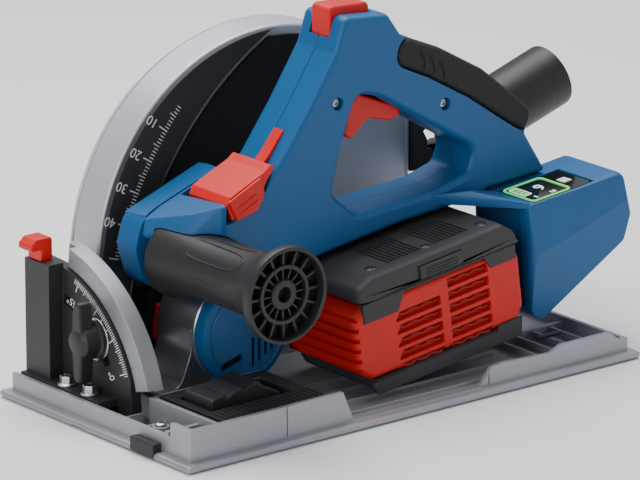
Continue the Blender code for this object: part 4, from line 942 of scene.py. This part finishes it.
gripRim = [(0, -3.2), (0.3, -2.4), (1.0, -1.6), (2.2, -0.8), (4.0, -0.2), (6.4, 0)]
grip = stack("gripSleeve", sleeveSide, [(-24.8 + d, g) for d, g in gripRim] + [(14.8 - d, g)
                                                                               for d, g in gripRim[::-1]])
grooves = []
for i, shift in enumerate((0.0, 7.5, 15.0)):
    path = [(52 + shift + 4 * math.sin(t * math.pi), -24.9, 196 - shift * 0.62 - 20 * t) for t in
            [k / 12 for k in range(13)]]
    grooves.append(tube("gripGroove", path, 1.1))
    grooves.append(tube("gripGroove", [(x, 14.9, z) for x, y, z in path], 1.1))
kept(edged(carve(grip, *grooves), 0.2), "grip_sleeve")

leverTop = roundCorners([(-85.6, 117.2, 0.5), (-90, 127, 1), (-87.4, 131.6, 2), (-62, 142.6, 6),
                         (-57, 146.4, 2),
                         (-55, 143.4, 2), (-60, 137.5, 1), (-63, 132, 1)], 5)
lever = edged(plate("bladeLever", leverTop, -23.4, 12), 0.6, 3, 50)
sideFlap = plate("leverFlap", roundCorners([(-89.2, 129.4, 1), (-83, 117, 1.5), (-68.3, 120.6, 2),
                                            (-63.6, 128, 2),
                                            (-63.4, 134.6, 2), (-66, 140, 1)], 4), -25.0, -21, rim=0.7)
cuts = [tube("leverGroove", [(x, -25.1, z), (x + 13.5, -25.1, z + 6.4)], 0.6)
        for x, z in ((-83.6, 124.6), (-81.8, 121.0))]
kept(edged(carve(fuse(lever, sideFlap), *cuts), 0.25), "blade_change_lever")
lock = stack("lockOff", roundCorners([(-6.5, 209, 1), (-6.5, 229, 3.5), (23.5, 227.6, 3.5), (23.5, 209, 1)],
                                     6),
             rimmed(-13.4, 3.4, 1.6, 1.6))
kept(edged(lock, 0), "lock_off_button")
triggerSide = roundCorners([(9, 167.5, 2), (16, 173.5, 2), (46, 161, 3), (49, 155, 3), (40, 152.5, 6),
                            (24, 157, 8),
                            (11, 146, 4), (5.5, 150, 2)], 7)
kept(edged(plate("trigger", triggerSide, -12.8, 2.8, rim=1.8, steps=4), 0), "trigger")
print("handle done")


# ---- auxiliary handle: waisted grip and a spoked end

auxSet = {"axis": (-98.0, 91.0), "start": 13.0, "spokes": 16, "beads": (20, 75, 130, 200, 255, 310)}
ax, az = auxSet["axis"]
auxAt = onLine(auxSet["axis"], auxSet["start"])
profile = [(0, 94), (26, 94), (26, 102.2), (26.6, 103), (27.6, 103), (28.3, 102.4), (28.5, 101.4),
           (28.5, 97.4),
           (27.4, 95.6), (24.4, 92), (21.6, 87), (19.8, 81), (18.9, 73), (18.5, 62), (18.5, 46), (19.2, 34),
           (20.6, 22), (22.8, 11), (24.2, 4), (24.2, 0.6), (23.6, 0), (0, 0)]
grip = turned("auxGrip", profile, auxAt, (0, -1, 0), 120)
hub = turned("auxHub", [(4.6, 99.6), (8.2, 99.6), (9, 99), (9, 93.8), (4.6, 93.8)], auxAt, (0, -1, 0), 72)
ring = turned("auxRing", [(15.2, 99.8), (17.4, 99.8), (17.6, 99.4), (17.6, 93.8), (15.2, 93.8)], auxAt,
              (0, -1, 0), 96)
outer = block("auxSpoke", (ax + 17.2, -85.6, az - 0.85), (ax + 26.3, -80.8, az + 0.85), 0.3)
inner = block("auxSpokeIn", (ax + 8.6, -85.2, az - 0.55), (ax + 15.6, -80.8, az + 0.55), 0.2)
for piece in (outer, inner):
    repeated(piece, auxSet["spokes"], turn=(0, 360 / auxSet["spokes"], 0), pivotAt=(ax, 0, az),
             finish=finishes["black_plastic"])
beads = []
for turn in auxSet["beads"]:
    path = []
    for k in range(33):
        t = 2 * math.pi * k / 32
        along = 50 + 26 * math.copysign(abs(math.cos(t)) ** 0.6, math.cos(t))
        across = 9 * math.copysign(abs(math.sin(t)) ** 0.8, math.sin(t))
        radius = 18.6 + 0.0011 * (along - 54) ** 2
        a = math.radians(turn + across * 2.2)
        path.append((ax + radius * math.cos(a), auxSet["start"] - along, az + radius * math.sin(a)))
    beads.append(tube("auxBead", path[:-1], 0.55, True))
kept(edged(merged("auxHandle", [grip, hub, ring]), 0.2), "aux_handle")
extra(merged("auxDetails", [edged(outer, 0), edged(inner, 0), *beads]), "aux_handle", "black_plastic")
print("aux handle done")


# ---- rear housing, display and key

rearSet = {"near": -62.0, "outside": -80.0, "edge": 62.0, "slope": -5.6, "screen": 103.62}


def sideCutter(name, inner, end):
    # leans the near side in from its widest line
    return hull(name, [(x, y, z + rise) for x, rise in ((96, 0), (200, 32))
                       for y, z in ((rearSet["near"], rearSet["edge"]), (inner, end),
                                    (rearSet["outside"], rearSet["edge"]), (rearSet["outside"], end))])


rearSide = roundCorners([(106.8, 99, 5), (150.2, 103.4, 0), (182, 107.2, 6), (189, 80, 8), (184, 63, 6),
                         (121, 25, 7),
                         (112, 31, 6)], 6)
shell = stack("rearShell", rearSide, [(-62, -4.4), (-61.6, -3.0), (-60.8, -1.8), (-59.4, -0.8),
                                      (-57.4, -0.2), (-55, 0),
                                      (-14, 0), (-11, -0.3), (-9.4, -1.2), (-8.4, -2.4), (-8, -3.6)])
room = plate("rearRoom", roundCorners([(100, 94, 0), (176, 101, 3), (183, 80, 4), (179, 67, 3), (124, 32, 3),
                                       (100, 36, 0)], 3), -52, -11)
shell = carve(shell, room, block("panelSeat", (112, -58, 98), (160, -26, 120)),
              sideCutter("rearLean", -54.5, -6))
kept(edged(carve(shell, sideCutter("rearUpper", -57, 114)), 0.4), "rear_housing")
front = hull("rearFront", [(x, y, z) for x, z in ((108.4, 96), (111.6, 96), (117.0, 31), (120.6, 31))
                           for y in (-57, -9)])
bridge = hull("rearBridge", [(62, -22, 100), (62, -24, 106), (84, -34, 100), (84, -34, 107), (111.5, -60, 96),
                             (111.5, -59.5, 99.2), (111.5, -22, 96), (111.5, -24, 99.4)])
extra(merged("rearFill", [edged(front, 0.6), edged(bridge, 1.2, 3)]), "rear_housing", "blue_shell")
panel = plate("displayPanel", roundCorners([(112.3, -57.7, 4), (112.3, -26.3, 4), (159.7, -26.3, 4),
                                            (159.7, -57.7, 4)], 5),
              99.2, 103.6, "Z", 0.9)


def sloped(piece):
    return tipped(piece, (156, 0, 103.4), (0, 1, 0), rearSet["slope"])


def ringLine(name, corners, radius, thick):
    path = roundCorners([(x, y, radius) for x, y in corners], 4 if radius > 1 else 3)
    return tube(name, [(x, y, rearSet["screen"]) for x, y in path], thick, True)


kept(sloped(edged(carve(panel, block("keyWell", (147, -46, 100.4), (154, -38, 110))), 0.15)), "display_panel")
kept(sloped(edged(block("modeKey", (147.4, -45.6, 101.2), (153.6, -38.4, 104.0), 0.6), 0.1)), "mode_key",
     whiteInk)
face = rearSet["screen"]
frameLine = [(113.9, -56.2), (113.9, -27.8), (143.4, -27.8), (143.4, -56.2)]
lines = [ringLine("lcdFrame", frameLine, 3, 0.75)]
cell = [(116.8, -45), (116.8, -30.4), (122.4, -30.4), (122.4, -45)]
lines += [block("lcdBar", (117.8, -44 + i * 3.4, face - 0.1), (121.4, -41.6 + i * 3.4, face + 0.12))
          for i in range(4)]
extra(sloped(merged("displayGreen", lines)), "display_panel", "display_glass", litGreen)
digits = [ringLine("lcdCell", cell, 0.8, 0.3)]
for name, text, size, x, y in (("lcdDigit", "9", 12.5, 132.5, -40.5), ("lcdSmall", "18", 4.6, 133.0, -51.6),
                               ("lcdSmall", "5", 4.6, 120.6, -51.0)):
    digits.append(lettered(name, text, size, (x, y, face), (1, 0, 0), (0, 1, 0), 0.2))
extra(sloped(merged("displayDigits", digits)), "display_panel", "display_glass", litWhite)
print("rear housing done")


# ---- battery: grey shells, red body with louvred sides

packSet = {"x": 38.0, "z": 50.5, "tilt": -7.7, "pitch": 8.0,
           "screws": [(u, y) for u in (-42, 0, 42) for y in (-54, -6)],
           "columns": ((-36, -1, 5, 9.0, 4.0), (5, 36, 6, 17.0, 0.0))}
px, pz = packSet["x"], packSet["z"]


def packed(points):
    return [(px + u, pz + v) for u, v in points]


def leaned(piece):
    return tipped(piece, (px, 0, pz), (0, 1, 0), packSet["tilt"])


topSide = packed(roundCorners([(-49.5, 21, 0), (-62.5, 22.5, 5), (-62.5, 32, 5), (-49.5, 37, 7),
                               (49.5, 37, 7),
                               (59.5, 29, 6), (59.5, 21, 0)], 5))
topShell = stack("packTop", topSide, [(-66, -2.4), (-65.6, -1.7), (-64.6, -0.9), (-63, -0.3), (-60.8, 0),
                                      (4, 0), (6.6, -0.8),
                                      (8, -2.4)])
skirtSide = packed([(-59, 22), (-59, 10), (-33.6, 10), (-28, 20.5), (33.6, 20.5), (38, 13), (57.4, 13),
                    (57.4, 22)])
skirtNear = plate("packTopSkirt", skirtSide, -65.3, -61.5, rim=0.6)
latchSeat = block("latchSeat", (px - 16.6, -72, pz + 23.4), (px + 16.6, -60, pz + 32.6))
dots = [rod("packWell", (px + u, y, pz + 36), (0, 0, 1), 4, 3.4) for u, y in packSet["screws"]]
lines = [block("packLine", (px + u - 0.25, -56, pz + 36.5), (px + u + 0.25, -4, pz + 38))
         for u in range(-30, 31, 3)
         if abs(u) > 4]
topShell = carve(fuse(topShell, skirtNear), latchSeat, *dots)
kept(leaned(edged(topShell, 0.3)), "battery_top_shell")
extra(leaned(merged("packTopLines", lines)), "battery_top_shell", "battery_grey")
extra(leaned(merged("packScrews", [torxScrew("packScrew", (px + u, y, pz + 36.1), (0, 0, 1), 3.0, 0.6)
                                   for u, y in packSet["screws"]])), "battery_top_shell", "bright_steel")

coreSide = packed(roundCorners([(-57.5, 20.6, 5), (-65.5, 13, 6), (-65.5, -19, 6), (-55.5, -26.6, 5),
                                (55.5, -26.6, 5),
                                (61.5, -19, 6), (61.5, 13, 6), (57.5, 20.6, 5)], 5))
core = stack("packCore", coreSide, [(-64.2, -4), (-63.8, -2.6), (-62.8, -1.2), (-61, -0.2), (-59, 0), (3, 0),
                                    (5.6, -1.2),
                                    (7, -3)])
cuts = []
for low, high, rows, top, lean in packSet["columns"]:
    for row in range(rows):
        v = pz + top - row * packSet["pitch"]
        window = roundCorners([(px + low + lean, v, 0.8), (px + high, v, 0.8), (px + high, v - 5.8, 0.8),
                               (px + low, v - 5.8, 0.8)], 3)
        cuts.append(plate("packWindow", window, -70, -60.6))
for row in range(6):
    z = pz + 12 - row * 6.4
    cuts += [block("packGroove", (px + low, -70, z), (px + high, 12, z + 2.6))
             for low, high in ((-70, -62.8), (59.8, 70))]
for side in (-1, 1):
    cuts.append(block("contactGap", (px - 1.4 + side * 20, -1, pz - 6.2),
                      (px + 2.4 + side * 20, 12, pz + 6.2)))
kept(leaned(edged(carve(core, *cuts), 0.35)), "battery_core")
# red ribs inside the pack windows, in a darker red that is painted shade
waves = []
for low, high, rows, top, lean in packSet["columns"]:
    for row in range(rows):
        v = pz + top - 3.0 - row * packSet["pitch"]
        path = [(px + low + 1 + (high - low - 2) * k / 24, -61.2, v + 0.7 * math.sin(k * math.pi / 4))
                for k in range(25)]
        waves.append(tube("packWave", path, 1.2))
extra(leaned(merged("packWaves", waves)), "battery_core", "battery_red", finishes["shaded_red"])
bottomSide = packed(roundCorners([(-53.5, -26.9, 0), (-53.5, -33, 4), (-47.5, -37, 4), (47.5, -37, 4),
                                  (55.5, -33, 4),
                                  (55.5, -26.9, 0)], 5))
bottom = stack("packBottom", bottomSide, [(-65, -3), (-64.6, -2), (-63.6, -0.8), (-61.8, 0), (4, 0),
                                          (6.4, -1), (7.4, -2.6)])
lip = plate("packLip", packed([(-58, -28), (-33, -28), (-30, -34), (36, -34), (40, -24.4), (58, -24.4),
                               (56, -36),
                               (-54, -36)]), -65.2, -63.0, rim=0.5)
kept(leaned(edged(fuse(bottom, lip), 0.3)), "battery_bottom_shell")
latch = block("packLatch", (px - 16, -67.6, pz + 24), (px + 16, -63, pz + 32), 1.4)
latchCuts = [block("latchGroove", (px - 12, -69, pz + z), (px + 12, -67.1, pz + z + 0.8))
             for z in (25.8, 27.6, 29.4)]
dressed(leaned(edged(carve(latch, *latchCuts), 0.2)), "battery_grey", "pack_latch", "battery_latch")
print("battery done")


# ---- dust port

rise = math.radians(18)
portAxis = Vector((math.cos(rise), 0, math.sin(rise)))
portStart = Vector((148, 45, 117)) + portAxis * 8
profile = [(17.0, 62), (19.2, 62), (19.8, 61.6), (20, 61), (20, 50), (19.7, 49.6), (19.7, 48.6), (20, 48.2),
           (20, 14),
           (20.4, 12.6), (21.4, 11.6), (21.6, 10.8), (21.6, 1.6), (21.2, 0.9), (20.6, 0.8), (17.4, 0.8)]
kept(edged(turned("dustPort", profile, portStart, portAxis, 120), 0), "dust_port")
print("dust port done")

shown = {node for piece in bpy.data.objects for node in piece.get("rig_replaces", [])}
left = [node for node in frame["nodes"] if node not in shown]
print("nodes still shown as they are:", left)


# ---- floor, light and camera

ground = Finish("paleFloor", (0.86, 0.86, 0.87), 0.85).material
floor = plate("floor", [(-4000, -4000), (-4000, 4000), (4000, 4000), (4000, -4000)], -4.0, -0.4, "Z")
floor.data.materials.append(ground)
carve(floor, block("floorSlit", (-75, 70, -20), (75, 76, 5)))

world = bpy.data.worlds.new("studio")
bpy.context.scene.world = world
world.use_nodes = True
sky = world.node_tree.nodes["Background"]
sky.inputs["Color"].default_value = (0.93, 0.95, 1.0, 1)
sky.inputs["Strength"].default_value = 0.42


def softBox(name, place, target, size, power, colour=(1, 1, 1)):
    light = bpy.data.lights.new(name, "AREA")
    light.shape = "RECTANGLE"
    light.size, light.size_y = size
    light.energy = power
    light.color = colour
    lamp = placed(name, light)
    lamp.location = place
    lamp.rotation_euler = (Vector(target) - Vector(place)).to_track_quat("-Z", "Y").to_euler()


softBox("topLight", (0.15, 0.45, 1.5), (0, 0, 0.1), (1.4, 1.2), 36)
softBox("leftLight", (-1.5, -0.5, 0.7), (0, 0, 0.1), (0.9, 0.9), 10)
softBox("rightLight", (1.2, -1.3, 0.6), (0, 0, 0.1), (0.8, 0.8), 2)

camSet = {"azimuth": 38.96, "rise": 16.83, "distance": 3.4433, "lens": 328.2, "right": -0.001883,
          "up": 0.08078}
a, e = math.radians(camSet["azimuth"]), math.radians(camSet["rise"])
toward = Vector((-math.cos(e) * math.sin(a), -math.cos(e) * math.cos(a), math.sin(e)))
right = Vector((math.cos(a), -math.sin(a), 0))
up = toward.cross(right)
camera = placed("camera", bpy.data.cameras.new("camera"))
camera.data.lens = camSet["lens"]
camera.data.clip_end = 20
turn = Matrix((right, up, toward)).transposed()
camera.matrix_world = Matrix.Translation(toward * camSet["distance"] + right * camSet["right"]
                                         + up * camSet["up"]) @ turn.to_4x4()
bpy.context.scene.camera = camera
